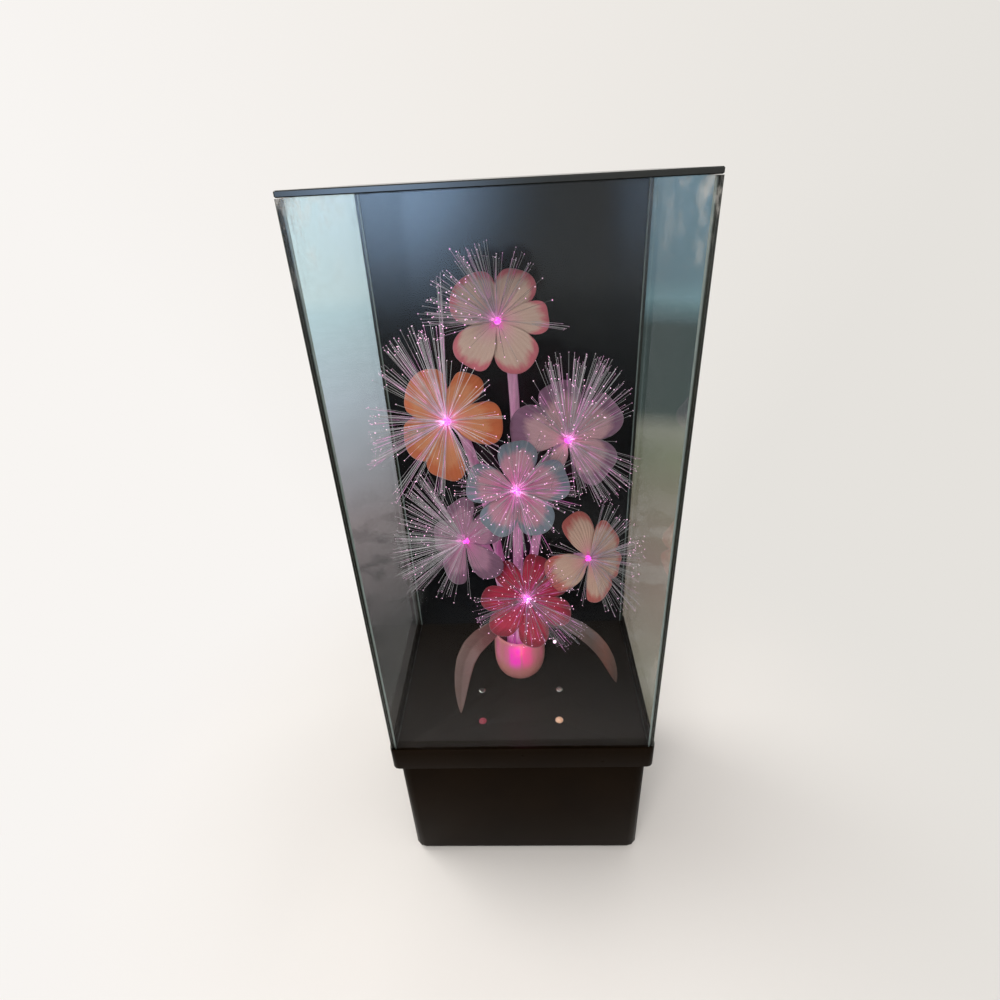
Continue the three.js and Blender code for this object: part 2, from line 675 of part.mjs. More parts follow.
function blocked(point, flower) {
  if (Math.abs(point.x) > insideHalfX - overrun || point.y + bouquetY < overrun - insideHalfY) return true;
  if (point.z < cupHeight && Math.hypot(point.x, point.y) < cupRadius + overrun) return true;
  for (const other of flowers) {
    if (other === flower) continue;
    const offset = point.clone().sub(other.head);
    const height = offset.dot(other.normal);
    const out = Math.sqrt(Math.max(offset.lengthSq() - height ** 2, 0));
    if (height > -slabBehind - collarLength && height < slabFront && out < other.reach + overrun) return true;
  }
  return obstacles.some(({ owner, points, radius }) => (
    owner !== flower && points.some((near) => near.distanceTo(point) < radius + fibreClearance + overrun)));
}

// Least distance between two straight fibres, and how far along the second it lies.
function nearest(first, second) {
  let best = { distance: Infinity, along: 0 };
  const line = new THREE.Line3(first.from, first.to);
  const point = new THREE.Vector3();
  const foot = new THREE.Vector3();
  for (let along = 0; along <= second.length; along += probeStep / 2) {
    point.copy(second.from).addScaledVector(second.direction, along);
    line.closestPointToPoint(point, true, foot);
    const distance = foot.distanceTo(point);
    if (distance < best.distance) best = { distance, along };
  }
  return best;
}

const fibres = [];
for (const flower of flowers) {
  const from = flower.head.clone().addScaledVector(flower.normal, bundleFront);
  sprayDirections(flower).forEach((direction, i) => {
    const most = fibreReach * lengthShares[i % lengthShares.length];
    let length = domeRadius;
    while (length < most && !blocked(from.clone().addScaledVector(direction, length + probeStep), flower)) length += probeStep;
    const fibre = { flower, from, direction, length };
    for (const other of fibres) {
      if (other.flower === flower || from.distanceTo(other.from) > 2 * fibreReach) continue;
      const { distance, along } = nearest(other, fibre);
      if (distance < 2 * fibreRadius + fibreClearance) fibre.length = Math.min(fibre.length, along - 2 * fibreClearance);
    }
    if (fibre.length < shortestFibre) return;
    fibre.to = from.clone().addScaledVector(direction, fibre.length);
    fibres.push(fibre);
  });
}

function fibreShape({ from, to, direction }) {
  const side = new THREE.Vector3(0, 0, 1).cross(direction).normalize();
  const up = new THREE.Vector3().crossVectors(direction, side);
  const section = (centre) => [0, 1, 2].map((corner) => {
    const angle = corner * 2 * Math.PI / 3;
    const offset = side.clone().multiplyScalar(Math.cos(angle)).addScaledVector(up, Math.sin(angle));
    return centre.clone().addScaledVector(offset, fibreRadius);
  });
  return loft([section(from.clone().addScaledVector(direction, domeRadius * rootShare)), section(to)]);
}

const bundleGroups = [
  { name: 'fibres_back', flowers: ['top'], trunk: [0, 1] },
  { name: 'fibres_left', flowers: ['left', 'low_left'], trunk: [-1, 0] },
  { name: 'fibres_right', flowers: ['right', 'low_right'], trunk: [1, 0] },
  { name: 'fibres_front', flowers: ['centre', 'bottom'], trunk: [0, -1] },
];
const bundleLow = ferruleLow - deckHeight + ferruleWall;
const bundleSides = 5;
const neckSteps = 3;

function bundleShape(flower, [signX, signY]) {
  const low = new THREE.Vector3(signX * trunkOffset, signY * trunkOffset, bundleLow);
  const neck = low.clone().setZ(0);
  const lift = sleeveFoot / 2;
  const spread = new THREE.CubicBezierCurve3(neck, neck.clone().setZ(lift), flower.foot.clone().setZ(lift), flower.foot);
  const front = flower.head.clone().addScaledVector(flower.normal, bundleFront);
  const run = [low, ...spread.getPoints(neckSteps).slice(0, -1), ...flower.stem, front];
  const dome = new THREE.IcosahedronGeometry(domeRadius).translate(front.x, front.y, front.z);
  return join(sweep(run, bundleRadius, bundleSides), dome);
}

for (const group of bundleGroups) {
  const members = flowers.filter(({ name }) => group.flowers.includes(name));
  const bundles = members.map((flower) => bundleShape(flower, group.trunk));
  const strands = fibres.filter(({ flower }) => members.includes(flower)).map(fibreShape);
  add(bouquet, group.name, join(...bundles, ...strands), looks.fibre);
}

// Small leaf on the right stem, with a clip ring round the sleeve
const stemLeafShare = 0.72;
const stemLeafLength = 26;
const stemLeafWidth = 12;
const stemLeafFold = 0.2;
const stemLeafBaseShare = 0.12;
const stemLeafBendShare = 1 / 3;
const stemLeafSeatShare = 1 / 3;
const clipLength = 4;
const clipSides = 9;

function stemLeafShape() {
  const stem = flowers.find(({ name }) => name === 'right').stem;
  const joint = Math.round(stemLeafShare * (stem.length - 1));
  const place = stem[joint].clone().lerp(stem[joint + 1], stemLeafSeatShare);
  const along = stem[joint + 1].clone().sub(stem[joint]).normalize();
  const turnTo = new THREE.Quaternion().setFromUnitVectors(new THREE.Vector3(0, 0, 1), along);
  const radius = holeRadius(sleeveRadius, clipSides);
  const clip = turned([
    [radius, 0], [radius + bladeThickness, 0], [radius + bladeThickness, clipLength], [radius, clipLength], [radius, 0]], clipSides);
  const midrib = new THREE.QuadraticBezierCurve3(
    new THREE.Vector3(0, radius + bladeThickness / 2, clipLength / 2),
    new THREE.Vector3(0, radius + stemLeafBendShare * stemLeafLength, clipLength),
    new THREE.Vector3(0, radius + stemLeafBendShare * stemLeafLength, stemLeafLength));
  const widthShareAt = (t) => Math.sin(Math.PI * THREE.MathUtils.lerp(stemLeafBaseShare, 1, t));
  const across = new THREE.Vector3(1, 0, 0);
  const sideAt = (along) => across.clone().addScaledVector(along, -across.dot(along)).normalize();
  const leaf = leafShape(midrib, stemLeafWidth, stemLeafFold, 6, widthShareAt, sideAt);
  return join(clip, leaf).applyQuaternion(turnTo).translate(place.x, place.y, place.z);
}
add(bouquet, 'stem_leaf', stemLeafShape(), looks.leaf);

// Light engine under the deck

const ferruleHeight = deckHeight - ferruleLow;
const ferruleProfile = [
  [ferruleBore, 0], [ferruleRadius, 0], [ferruleRadius, ferruleHeight + restGap], [ferruleFlangeRadius, ferruleHeight + restGap],
  [ferruleFlangeRadius, ferruleHeight + ferruleFlange], [ferruleBore, ferruleHeight + ferruleFlange], [ferruleBore, 0]];
add(lamp, 'fibre_ferrule', turned(ferruleProfile, 16), looks.brass, [0, bouquetY, ferruleLow]);

const chassisHalfX = 66;
const chassisHalfY = 40;
const motorRadius = 19;
const motorHeight = 16;
const motorBossRadius = 6;
const motorBossHeight = 3;
const motorEar = 1.5;
const shaftRadius = 2;
const shaftGap = 0.15;
const chassisLow = chassisTop - chassisThickness;
const motorTop = chassisLow - restGap;
const chassisRight = 44;

function chassisShape() {
  const holes = screwPlaces.map(([x, y]) => rod(screwShankRadius + restGap, chassisLow - overrun, chassisTop + overrun, 8).translate(x, y, 0));
  const ferruleHole = rod(bossRadius + restGap, chassisLow - overrun, chassisTop + overrun, 16).translate(0, bouquetY, 0);
  const middle = (chassisRight - chassisHalfX) / 2;
  const plate = roundedSlab((chassisRight + chassisHalfX) / 2, chassisHalfY, rimCornerRadius, chassisLow, chassisTop);
  return cut(plate.translate(middle, bouquetY, 0), ferruleHole, ...holes);
}
add(lamp, 'chassis_plate', chassisShape(), looks.steel);

const screwLow = chassisLow - 2 * chassisThickness;
const screwProfile = [
  [0, screwLow], [screwShankRadius, screwLow], [screwShankRadius, deckHeight + restGap], [screwHeadRadius, deckHeight + restGap],
  [screwDomeShare * screwHeadRadius, deckHeight + restGap + screwShoulderShare * screwHeadHeight],
  [0, deckHeight + restGap + screwHeadHeight]];
screwPlaces.forEach(([x, y], i) => {
  add(lamp, `chassis_screw_${i + 1}`, turned(screwProfile, 8), looks.steel, [x, y, 0]);
});

// The wheel fills the space between the walls, and its ring of windows passes under the ferrule.
const wheelFillShare = 0.89;
const windowMargin = 7;
const windowInset = 14;
const wheelEdge = 3;
const wheelThickness = 1.8;
const wheelGap = 3;
const motorLow = motorTop - motorHeight;
const wheelTop = motorLow - motorBossHeight - wheelGap;
const wheelLow = wheelTop - wheelThickness;
const wheelReachX = wheelFillShare * tubHalf(tubTopX, wheelLow, tubWall);
const wheelReachY = wheelFillShare * (tubHalf(tubTopY, wheelLow, tubWall) - bouquetY);
const wheelOffset = Math.min((wheelReachX - windowMargin - wheelEdge) / 2, wheelReachY - windowMargin - wheelEdge);
const windowOuter = wheelOffset + windowMargin;
const windowInner = wheelOffset - windowInset;
const wheelRadius = windowOuter + wheelEdge;

function motorShape() {
  const body = turned([
    [0, 0], [motorBossRadius, 0], [motorBossRadius, motorBossHeight], [motorRadius - motorEar, motorBossHeight],
    [motorRadius, motorBossHeight + motorEar], [motorRadius, motorBossHeight + motorHeight - motorEar],
    [0, motorBossHeight + motorHeight - motorEar]], 18);
  const ears = roundedSlab(motorRadius / 3, motorRadius + motorBossRadius, motorEar, motorBossHeight + motorHeight - 2 * motorEar,
    motorBossHeight + motorHeight);
  const bore = rod(shaftRadius + shaftGap, -overrun, motorBossHeight + motorHeight / 2, 16);
  return cut(join(body, ears), bore);
}
add(lamp, 'wheel_motor', motorShape(), looks.steel, [-wheelOffset, bouquetY, motorLow - motorBossHeight]);

// Colour wheel: a frame with four windows, a gel in each, on a hub with a shaft
const spokeWidth = 5;
const hubRadius = 9;
const hubFlangeRadius = 13;
const gelThickness = 1;
const gelColors = { magenta: 0xff3fc0, amber: 0xffa030, green: 0x30c060, blue: 0x3060ff };
const wheel = new THREE.Group();
wheel.position.set(-wheelOffset, bouquetY, wheelLow);
lamp.add(wheel);

// An annular sector between two spokes, drawn in by a gap all round.
function windowShape(gap, height) {
  const outer = windowOuter - gap;
  const inner = windowInner + gap;
  const half = spokeWidth / 2 + gap;
  const quarter = Math.PI / 2;
  const outerStart = Math.asin(half / outer);
  const innerStart = Math.asin(half / inner);
  const outline = new THREE.Shape();
  outline.absarc(0, 0, outer, outerStart, quarter - outerStart, false);
  outline.absarc(0, 0, inner, quarter - innerStart, innerStart, true);
  outline.closePath();
  return new THREE.ExtrudeGeometry(outline, { depth: height, bevelEnabled: false, curveSegments: 5 });
}

function wheelShape() {
  const disc = rod(wheelRadius, 0, wheelThickness, 32);
  const centreHole = rod(hubRadius + restGap, -overrun, wheelThickness + overrun, 16);
  const windows = [0, 1, 2, 3].map((i) => (
    windowShape(0, wheelThickness + 2 * overrun).rotateZ((i - 0.5) * Math.PI / 2).translate(0, 0, -overrun)));
  return cut(disc, centreHole, ...windows);
}
add(wheel, 'colour_wheel', wheelShape(), looks.blackMoulding);
Object.entries(gelColors).forEach(([name, color], i) => {
  const look = { color, roughness: 0.2, transparent: true, opacity: 0.7 };
  const gel = add(wheel, `gel_${name}`, windowShape(restGap, gelThickness), look, [0, 0, (wheelThickness - gelThickness) / 2]);
  gel.rotation.z = (i - 0.5) * Math.PI / 2;
});
const shaftTop = wheelThickness + wheelGap + motorHeight / 2;
const hubDrop = 4;
const hubProfile = [
  [0, -hubDrop], [hubRadius, -hubDrop], [hubRadius, wheelThickness + restGap],
  [hubFlangeRadius, wheelThickness + restGap], [hubFlangeRadius, wheelThickness + restGap + gelThickness],
  [shaftRadius, wheelThickness + restGap + gelThickness], [shaftRadius, shaftTop], [0, shaftTop]];
add(wheel, 'wheel_hub', turned(hubProfile, 16), looks.brass);

// Halogen capsule in a reflector, on a bracket that stands on the bottom cover
const reflectorRadius = 17.5;
const reflectorDepth = 15;
const reflectorWall = 1.2;
const reflectorFlange = 20;
const reflectorNeck = 6;
const bracketWidth = 34;
const bracketHalf = 24;
const bracketSheet = 1.5;
const bracketTop = wheelLow - hubDrop - 4 * overrun;
const shelfDrop = 38;
const shelfTop = bracketTop - shelfDrop;
const bracketFoot = 10;
const socketSize = 13;
const socketHeight = 11;
const bulbRadius = 4;
const bulbFootShare = 0.8;
const bulbShoulderShare = 0.7;
const bulbTipShare = 1 / 3;
const bulbHeight = 20;

function bracketShape() {
  const low = coverTop + restGap;
  const outline = new THREE.Shape();
  const foot = bracketHalf + bracketFoot;
  outline.moveTo(-foot, low);
  outline.lineTo(-bracketHalf + bracketSheet, low);
  outline.lineTo(-bracketHalf + bracketSheet, shelfTop - bracketSheet);
  outline.lineTo(bracketHalf - bracketSheet, shelfTop - bracketSheet);
  outline.lineTo(bracketHalf - bracketSheet, low);
  outline.lineTo(foot, low);
  outline.lineTo(foot, low + bracketSheet);
  outline.lineTo(bracketHalf, low + bracketSheet);
  outline.lineTo(bracketHalf, bracketTop);
  outline.lineTo(-bracketHalf, bracketTop);
  outline.lineTo(-bracketHalf, low + bracketSheet);
  outline.lineTo(-foot, low + bracketSheet);
  const window = new THREE.Path();
  window.moveTo(-bracketHalf + bracketSheet, shelfTop);
  window.lineTo(bracketHalf - bracketSheet, shelfTop);
  window.lineTo(bracketHalf - bracketSheet, bracketTop - bracketSheet);
  window.lineTo(-bracketHalf + bracketSheet, bracketTop - bracketSheet);
  outline.holes.push(window);
  const strip = new THREE.ExtrudeGeometry(outline, { depth: bracketWidth, bevelEnabled: false });
  strip.rotateX(Math.PI / 2).translate(0, bracketWidth / 2, 0);
  return cut(strip, rod(reflectorRadius + restGap, bracketTop - 2 * bracketSheet, bracketTop + overrun, 20));
}
add(lamp, 'lamp_bracket', bracketShape(), looks.steel, [0, bouquetY, 0]);

function reflectorShape() {
  const shares = [0, 0.3, 0.62, 1];
  const radiusAt = (share) => reflectorNeck + (reflectorRadius - reflectorWall - reflectorNeck) * Math.sqrt(share);
  const inside = shares.map((share) => [radiusAt(share), (share - 1) * reflectorDepth]);
  const outside = shares.map((share) => [radiusAt(share) + reflectorWall, (share - 1) * reflectorDepth]).reverse();
  const rim = [
    [reflectorRadius - reflectorWall, restGap + bracketSheet], [reflectorFlange, restGap + bracketSheet],
    [reflectorFlange, restGap], [reflectorRadius, restGap]];
  return turned([...inside, ...rim, ...outside, inside[0]], 14);
}
add(lamp, 'lamp_reflector', reflectorShape(), looks.steel, [0, bouquetY, bracketTop]);

const socketLow = shelfTop + restGap;
const bulbLow = socketLow + socketHeight + restGap;
add(lamp, 'lamp_socket', slab(socketSize, socketSize, socketLow, socketLow + socketHeight), looks.ceramic, [0, bouquetY, 0]);
const bulbProfile = [
  [0, 0], [bulbFootShare * bulbRadius, 0], [bulbRadius, bulbRadius / 2], [bulbRadius, bulbHeight - bulbRadius],
  [bulbShoulderShare * bulbRadius, bulbHeight - bulbTipShare * bulbRadius], [0, bulbHeight]];
add(lamp, 'halogen_bulb', turned(bulbProfile, 12), looks.glass, [0, bouquetY, bulbLow]);

// Electrical pieces at the back

const bezelMargin = 2;
const bezelThickness = 1.6;
const switchDepth = 15;
const wellMargin = 1.4;
const wellDepth = 9;
const rockerThickness = 5;
const rockerPivot = 1.5;
const rockerAngle = 9;
const rockerGap = 0.4;
const rearPlace = outerRearY + slideGap;

function switchShape() {
  const bezel = new THREE.BoxGeometry(switchBodyX + 2 * bezelMargin, bezelThickness, switchBodyZ + 2 * bezelMargin);
  const body = new THREE.BoxGeometry(switchBodyX, switchDepth, switchBodyZ).translate(0, -switchDepth / 2, 0);
  const well = new THREE.BoxGeometry(switchBodyX - 2 * wellMargin, 2 * wellDepth, switchBodyZ - 2 * wellMargin);
  return cut(join(bezel.translate(0, bezelThickness / 2, 0), body), well);
}
add(lamp, 'switch_body', switchShape(), looks.switchMoulding, [switchX, rearPlace, rearZ]);

// The rocker's face is a shallow V, so that one half is flush when the other stands out.
function rockerShape() {
  const halfX = switchBodyX / 2 - wellMargin - rockerGap;
  const sizeZ = switchBodyZ - 2 * wellMargin - 2 * rockerGap;
  const drop = halfX * Math.tan(THREE.MathUtils.degToRad(rockerAngle));
  const outline = new THREE.Shape();
  outline.moveTo(-halfX + rockerGap, -rockerThickness + drop);
  outline.lineTo(0, -rockerThickness);
  outline.lineTo(halfX - rockerGap, -rockerThickness + drop);
  outline.lineTo(halfX, drop);
  outline.lineTo(0, rockerPivot);
  outline.lineTo(-halfX, drop);
  return new THREE.ExtrudeGeometry(outline, { depth: sizeZ, bevelEnabled: false }).translate(0, 0, -sizeZ / 2);
}
const rocker = add(lamp, 'switch_rocker', rockerShape(), looks.switchMoulding, [switchX, rearPlace, rearZ]);
rocker.rotation.z = THREE.MathUtils.degToRad(rockerAngle);

const inletFlange = 7.2;
const inletFlangeThickness = 1.6;
const inletDepth = 14;
const inletBore = 3.3;
const inletPin = 1;
const inletFloor = 3;
const nutRadius = 8.5;
const nutThickness = 3;
const inletProfile = [
  [0, -inletDepth], [inletRadius, -inletDepth], [inletRadius, 0], [inletFlange, 0], [inletFlange, inletFlangeThickness],
  [inletBore, inletFlangeThickness], [inletBore, -inletDepth + inletFloor], [inletPin, -inletDepth + inletFloor],
  [inletPin, -inletPin], [0, 0]];
const inlet = add(lamp, 'power_inlet', turned(inletProfile, 16), looks.switchMoulding, [inletX, rearPlace, rearZ]);
inlet.rotation.x = -Math.PI / 2;
const nut = add(lamp, 'inlet_nut',
  cut(rod(nutRadius, -nutThickness, 0, 6), rod(inletRadius + restGap / 2, -nutThickness - overrun, overrun, 16)), looks.brass,
  [inletX, innerRearY - 2 * slideGap, rearZ]);
nut.rotation.x = -Math.PI / 2;

const terminalX = 24;
const terminalY = 12;
const terminalHeight = 11;
const terminalShares = [0.63, -0.12];
const terminalPlace = [terminalShares[0] * coverHalfX, terminalShares[1] * coverHalfY];
function terminalShape() {
  const block = slab(terminalX, terminalY, 0, terminalHeight);
  const wells = [-1, 0, 1].map((i) => rod(terminalY / 5, terminalHeight / 2, terminalHeight + overrun, 8).translate(i * terminalX / 3, 0, 0));
  return cut(block, ...wells);
}
add(lamp, 'terminal_block', terminalShape(), looks.ceramic, [...terminalPlace, coverTop + restGap]);

export default lamp;
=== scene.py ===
import random
from functools import partial
from math import cos, exp, pi, radians, sin, sqrt

import bpy
from mathutils import Matrix, Vector


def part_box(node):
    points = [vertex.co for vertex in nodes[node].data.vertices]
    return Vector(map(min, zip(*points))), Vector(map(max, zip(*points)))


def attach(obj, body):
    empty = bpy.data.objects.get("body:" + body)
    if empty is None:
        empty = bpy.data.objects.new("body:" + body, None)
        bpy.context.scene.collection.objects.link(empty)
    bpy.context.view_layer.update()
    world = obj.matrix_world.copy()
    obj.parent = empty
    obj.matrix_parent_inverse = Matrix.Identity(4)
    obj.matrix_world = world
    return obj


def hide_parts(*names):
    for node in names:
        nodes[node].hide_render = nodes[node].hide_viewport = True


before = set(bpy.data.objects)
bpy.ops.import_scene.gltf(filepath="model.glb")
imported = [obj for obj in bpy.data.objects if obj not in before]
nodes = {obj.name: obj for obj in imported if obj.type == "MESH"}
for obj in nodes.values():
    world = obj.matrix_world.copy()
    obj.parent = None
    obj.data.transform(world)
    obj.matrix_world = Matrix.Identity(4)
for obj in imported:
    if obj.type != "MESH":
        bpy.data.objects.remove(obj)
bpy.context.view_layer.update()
mm = 0.001
print("frame loaded:", len(nodes), "CAD nodes")

# Linear colour of a hex value
def srgb(text):
    parts = [int(text[i:i + 2], 16) / 255 for i in (1, 3, 5)]
    return tuple(p / 12.92 if p <= 0.04045 else ((p + 0.055) / 1.055) ** 2.4 for p in parts) + (1.0,)


# Adds a shader node with its settings and links. Inputs go by name, or as a list in the order of the sockets in
# use. An input is a value, a hex colour, a socket or a node, whose first output in use is linked. Stops are a
# ramp's places and tones.
def addNode(tree, kind, inputs=(), stops=(), interpolation="LINEAR", **settings):
    made = tree.nodes.new("ShaderNode" + kind)
    for name, value in settings.items():
        setattr(made, name, value)
    if isinstance(inputs, dict):
        pairs = [(made.inputs[name], value) for name, value in inputs.items()]
    else:
        pairs = list(zip([socket for socket in made.inputs if socket.enabled], inputs))
    for socket, value in pairs:
        if isinstance(value, bpy.types.Node):
            value = next(output for output in value.outputs if output.enabled)
        if isinstance(value, bpy.types.NodeSocket):
            tree.links.new(value, socket)
        else:
            socket.default_value = srgb(value) if isinstance(value, str) else value
    if stops:
        elements = made.color_ramp.elements
        made.color_ramp.interpolation = interpolation
        while len(elements) < len(stops):
            elements.new(0.5)
        for element, (place, tone) in zip(elements, stops):
            element.position = place
            element.color = srgb(tone) if isinstance(tone, str) else (tone, tone, tone, 1)
    return made


# An empty material, and addNode for its tree
def newMaterial(name):
    made = bpy.data.materials.new(name)
    made.use_nodes = True
    made.node_tree.nodes.clear()
    return made, partial(addNode, made.node_tree)


def newObject(name, data):
    made = bpy.data.objects.new(name, data)
    bpy.context.scene.collection.objects.link(made)
    return made


def active():
    return bpy.context.view_layer.objects.active


def pick(*pieces):
    bpy.ops.object.select_all(action="DESELECT")
    for piece in pieces:
        piece.select_set(True)
    bpy.context.view_layer.objects.active = pieces[0]


# Smooth shading but for edges sharper than the angle in degrees
def smoothed(piece, angle):
    pick(piece)
    bpy.ops.object.shade_smooth_by_angle(angle=radians(angle))
    return piece


# Opens the piece in edit mode with only the faces selected that pass the test
def selectFaces(piece, test):
    pick(piece)
    bpy.ops.object.mode_set(mode="EDIT")
    bpy.ops.mesh.select_mode(type="FACE")
    bpy.ops.mesh.select_all(action="DESELECT")
    bpy.ops.object.mode_set(mode="OBJECT")
    for face in piece.data.polygons:
        face.select = test(face)
    bpy.ops.object.mode_set(mode="EDIT")


def modify(piece, kind, **settings):
    made = piece.modifiers.new(kind.lower(), kind)
    for name, value in settings.items():
        setattr(made, name, value)


def applyModifiers(piece):
    pick(piece)
    for modifier in list(piece.modifiers):
        bpy.ops.object.modifier_apply(modifier=modifier.name)


def joined(pieces, name):
    pick(*pieces)
    bpy.ops.object.join()
    made = active()
    made.name = made.data.name = name
    return made


# Bakes the piece's place into its mesh, dresses it and lets it ride on its body
def settle(piece, material, replaced=(), body="lamp_base"):
    pick(piece)
    bpy.ops.object.transform_apply(location=True, rotation=True, scale=True)
    piece.data.materials.clear()
    piece.data.materials.append(material)
    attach(piece, body)
    if replaced:
        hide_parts(*replaced)
    return piece


# A merged copy of a CAD solid, with flat faces dissolved, its edges rounded and smooth shading
def cadCopy(node, name, bevel=0.0):
    sharp = 32  # degrees between the faces at an edge
    made = newObject(name, nodes[node].data.copy())
    made.data.name = name
    pick(made)
    bpy.ops.object.mode_set(mode="EDIT")
    bpy.ops.mesh.select_all(action="SELECT")
    bpy.ops.mesh.remove_doubles(threshold=0.002 * mm)
    bpy.ops.mesh.dissolve_limited(angle_limit=radians(0.6))
    bpy.ops.object.mode_set(mode="OBJECT")
    if bevel:
        modify(made, "BEVEL", width=bevel * mm, segments=2, limit_method="ANGLE", angle_limit=radians(sharp))
        applyModifiers(made)
    return smoothed(made, sharp)


# Camera: fitted to the case's corners and edges in the photograph
camera = {
    "place": (9.39, -365.05, 521.4),
    "yaw": 0.05165,
    "pitch": 0.51335,
    "roll": 0.05528,
    "lens": 20.754,
}


def placeCamera():
    yaw, pitch, roll = camera["yaw"], camera["pitch"], camera["roll"]
    forward = Vector((-sin(yaw) * cos(pitch), cos(yaw) * cos(pitch), -sin(pitch)))
    right = Vector((cos(yaw), sin(yaw), 0))
    down = forward.cross(right)
    rolledRight = cos(roll) * right + sin(roll) * down
    rolledDown = -sin(roll) * right + cos(roll) * down
    data = bpy.data.cameras.new("camera")
    data.sensor_width = 36
    data.lens = camera["lens"]
    data.clip_start = 0.01
    made = newObject("camera", data)
    turn = Matrix((rolledRight, -rolledDown, -forward)).transposed()
    made.matrix_world = Matrix.Translation(Vector(camera["place"]) * mm) @ turn.to_4x4()
    bpy.context.scene.camera = made


placeCamera()


# Materials

def acrylicPane(name, tint, thin, paintedEdgeTones, haze=0.02):
    # Clear cast acrylic sheet, polished: straight see-through with a faint tint, a soft mirror of the room, and
    # edges painted a fixed dark tone, a painted shade for the light lost along the sheet; on the side panes the
    # inner half of each edge is painted lighter, a painted highlight. It has a little dust and scuffed top
    # corners.
    material, add = newMaterial(name)
    shape = add("NewGeometry")
    side = add("SeparateXYZ", [shape.outputs["True Normal"]])
    facing = add("Math", [side.outputs[thin]], operation="ABSOLUTE")
    place = add("TexCoord").outputs["Object"]
    split = add("SeparateXYZ", [place])
    out = add("Math", [split.outputs["X"]], operation="ABSOLUTE")
    clear = add("BsdfTransparent", [tint])
    smudge = add("ValToRGB", [add("TexNoise", [place, 1 / (40 * mm), 5, 0.62])], [(0.55, 0.0), (0.8, 1.0)])
    smudge = add("Math", [smudge, haze], operation="MULTIPLY")
    corner = add("MapRange", [out, 0.066, 0.098])
    deep = add("MapRange", [add("Math", [split.outputs["Y"]], operation="ABSOLUTE"), 0.045, 0.072])
    corner = add("Math", [corner, deep], operation="MULTIPLY")
    high = add("MapRange", [split.outputs["Z"], 0.47, 0.513])
    scuffs = add("TexNoise", [add("Mapping", {"Vector": place, "Scale": (1, 1, 0.5)}), 1 / (9 * mm), 5, 0.7])
    scuffs = add("ValToRGB", [scuffs], [(0.5, 0.0), (0.62, 0.4), (0.72, 0.4)])
    scuffs = add("Math", [scuffs, add("Math", [corner, high], operation="MULTIPLY")], operation="MULTIPLY")
    dust = add("BsdfDiffuse", ["#c9c6bf"])
    dusty = add("MixShader", [add("Math", [smudge, scuffs], operation="MAXIMUM"), clear, dust])
    gloss = add("BsdfGlossy", {"Color": (1, 1, 1, 1), "Roughness": 0.02})
    # Mirror share of a thin sheet, the same from both sides
    slant = add("LayerWeight", [0.5, shape.outputs["True Normal"]]).outputs["Facing"]
    mirror = add("Math", [add("Math", [slant, 5.0], operation="POWER"), 0.8], operation="MULTIPLY")
    mirror = add("Math", [0.012, mirror], operation="ADD")
    pane = add("MixShader", [mirror, dusty, gloss])
    # Painted shade on the edge faces, with a lighter painted highlight on the inner half of the side panes'
    # edges
    rim = add("MapRange", [out, 0.097, 0.1])
    tone = add("ValToRGB", [rim], [(0.0, paintedEdgeTones[0]), (0.25, paintedEdgeTones[0]), (0.5, paintedEdgeTones[1])])
    grey = add("Math", [add("TexNoise", [place, 1 / (7 * mm), 3, 0.5]), 0.5], operation="MULTIPLY")
    tone = add("Mix", [grey, tone, "#3a3b31"], data_type="RGBA")
    edge = add("BsdfPrincipled", {"Base Color": tone, "Roughness": 0.25})
    whole = add("MixShader", [add("Math", [facing, 0.9], operation="GREATER_THAN"), edge, pane])
    add("OutputMaterial", [whole])
    return material


def blackAcrylic(name, base="#0c0e10"):
    # Black cast acrylic sheet: a deep polished black that mirrors softly, with faint dust and wipe marks.
    material, add = newMaterial(name)
    place = add("TexCoord").outputs["Object"]
    cloud = add("ValToRGB", [add("TexNoise", [place, 1 / (70 * mm), 4, 0.6])], [(0.35, 0.0), (0.75, 1.0)])
    colour = add("Mix", [add("Math", [cloud, 0.4], operation="MULTIPLY"), base, "#1c1f24"], data_type="RGBA")
    wipes = add("TexNoise", [add("Mapping", {"Vector": place, "Scale": (1, 1, 6)}), 1 / (12 * mm), 3, 0.6])
    rough = add("MapRange", {"Value": wipes, "To Min": 0.12, "To Max": 0.2})
    add("OutputMaterial", [add("BsdfPrincipled", {"Base Color": colour, "Roughness": rough, "IOR": 1.49})])
    return material


def mouldedBlack(name):
    # High-gloss black styrene, injection moulded: brown-black, with faint flow waves and a thin bloom of dust.
    material, add = newMaterial(name)
    place = add("TexCoord").outputs["Object"]
    flow = add("TexNoise", [place, 1 / (42 * mm), 3, 0.5])
    bloom = add("TexNoise", [place, 1 / (18 * mm), 4, 0.6])
    waves = add("TexNoise", [place, 1 / (24 * mm), 2, 0.5])
    shader = add("BsdfPrincipled", {
        "Base Color": add("Mix", [flow, "#0c0704", "#150d06"], data_type="RGBA"),
        "Roughness": add("MapRange", {"Value": bloom, "To Min": 0.24, "To Max": 0.36}), "IOR": 1.5,
        "Specular IOR Level": 0.026, "Specular Tint": (0.9, 0.7, 0.48, 1),
        "Normal": add("Bump", {"Height": waves, "Distance": 0.05 * mm})})
    add("OutputMaterial", [shader])
    return material


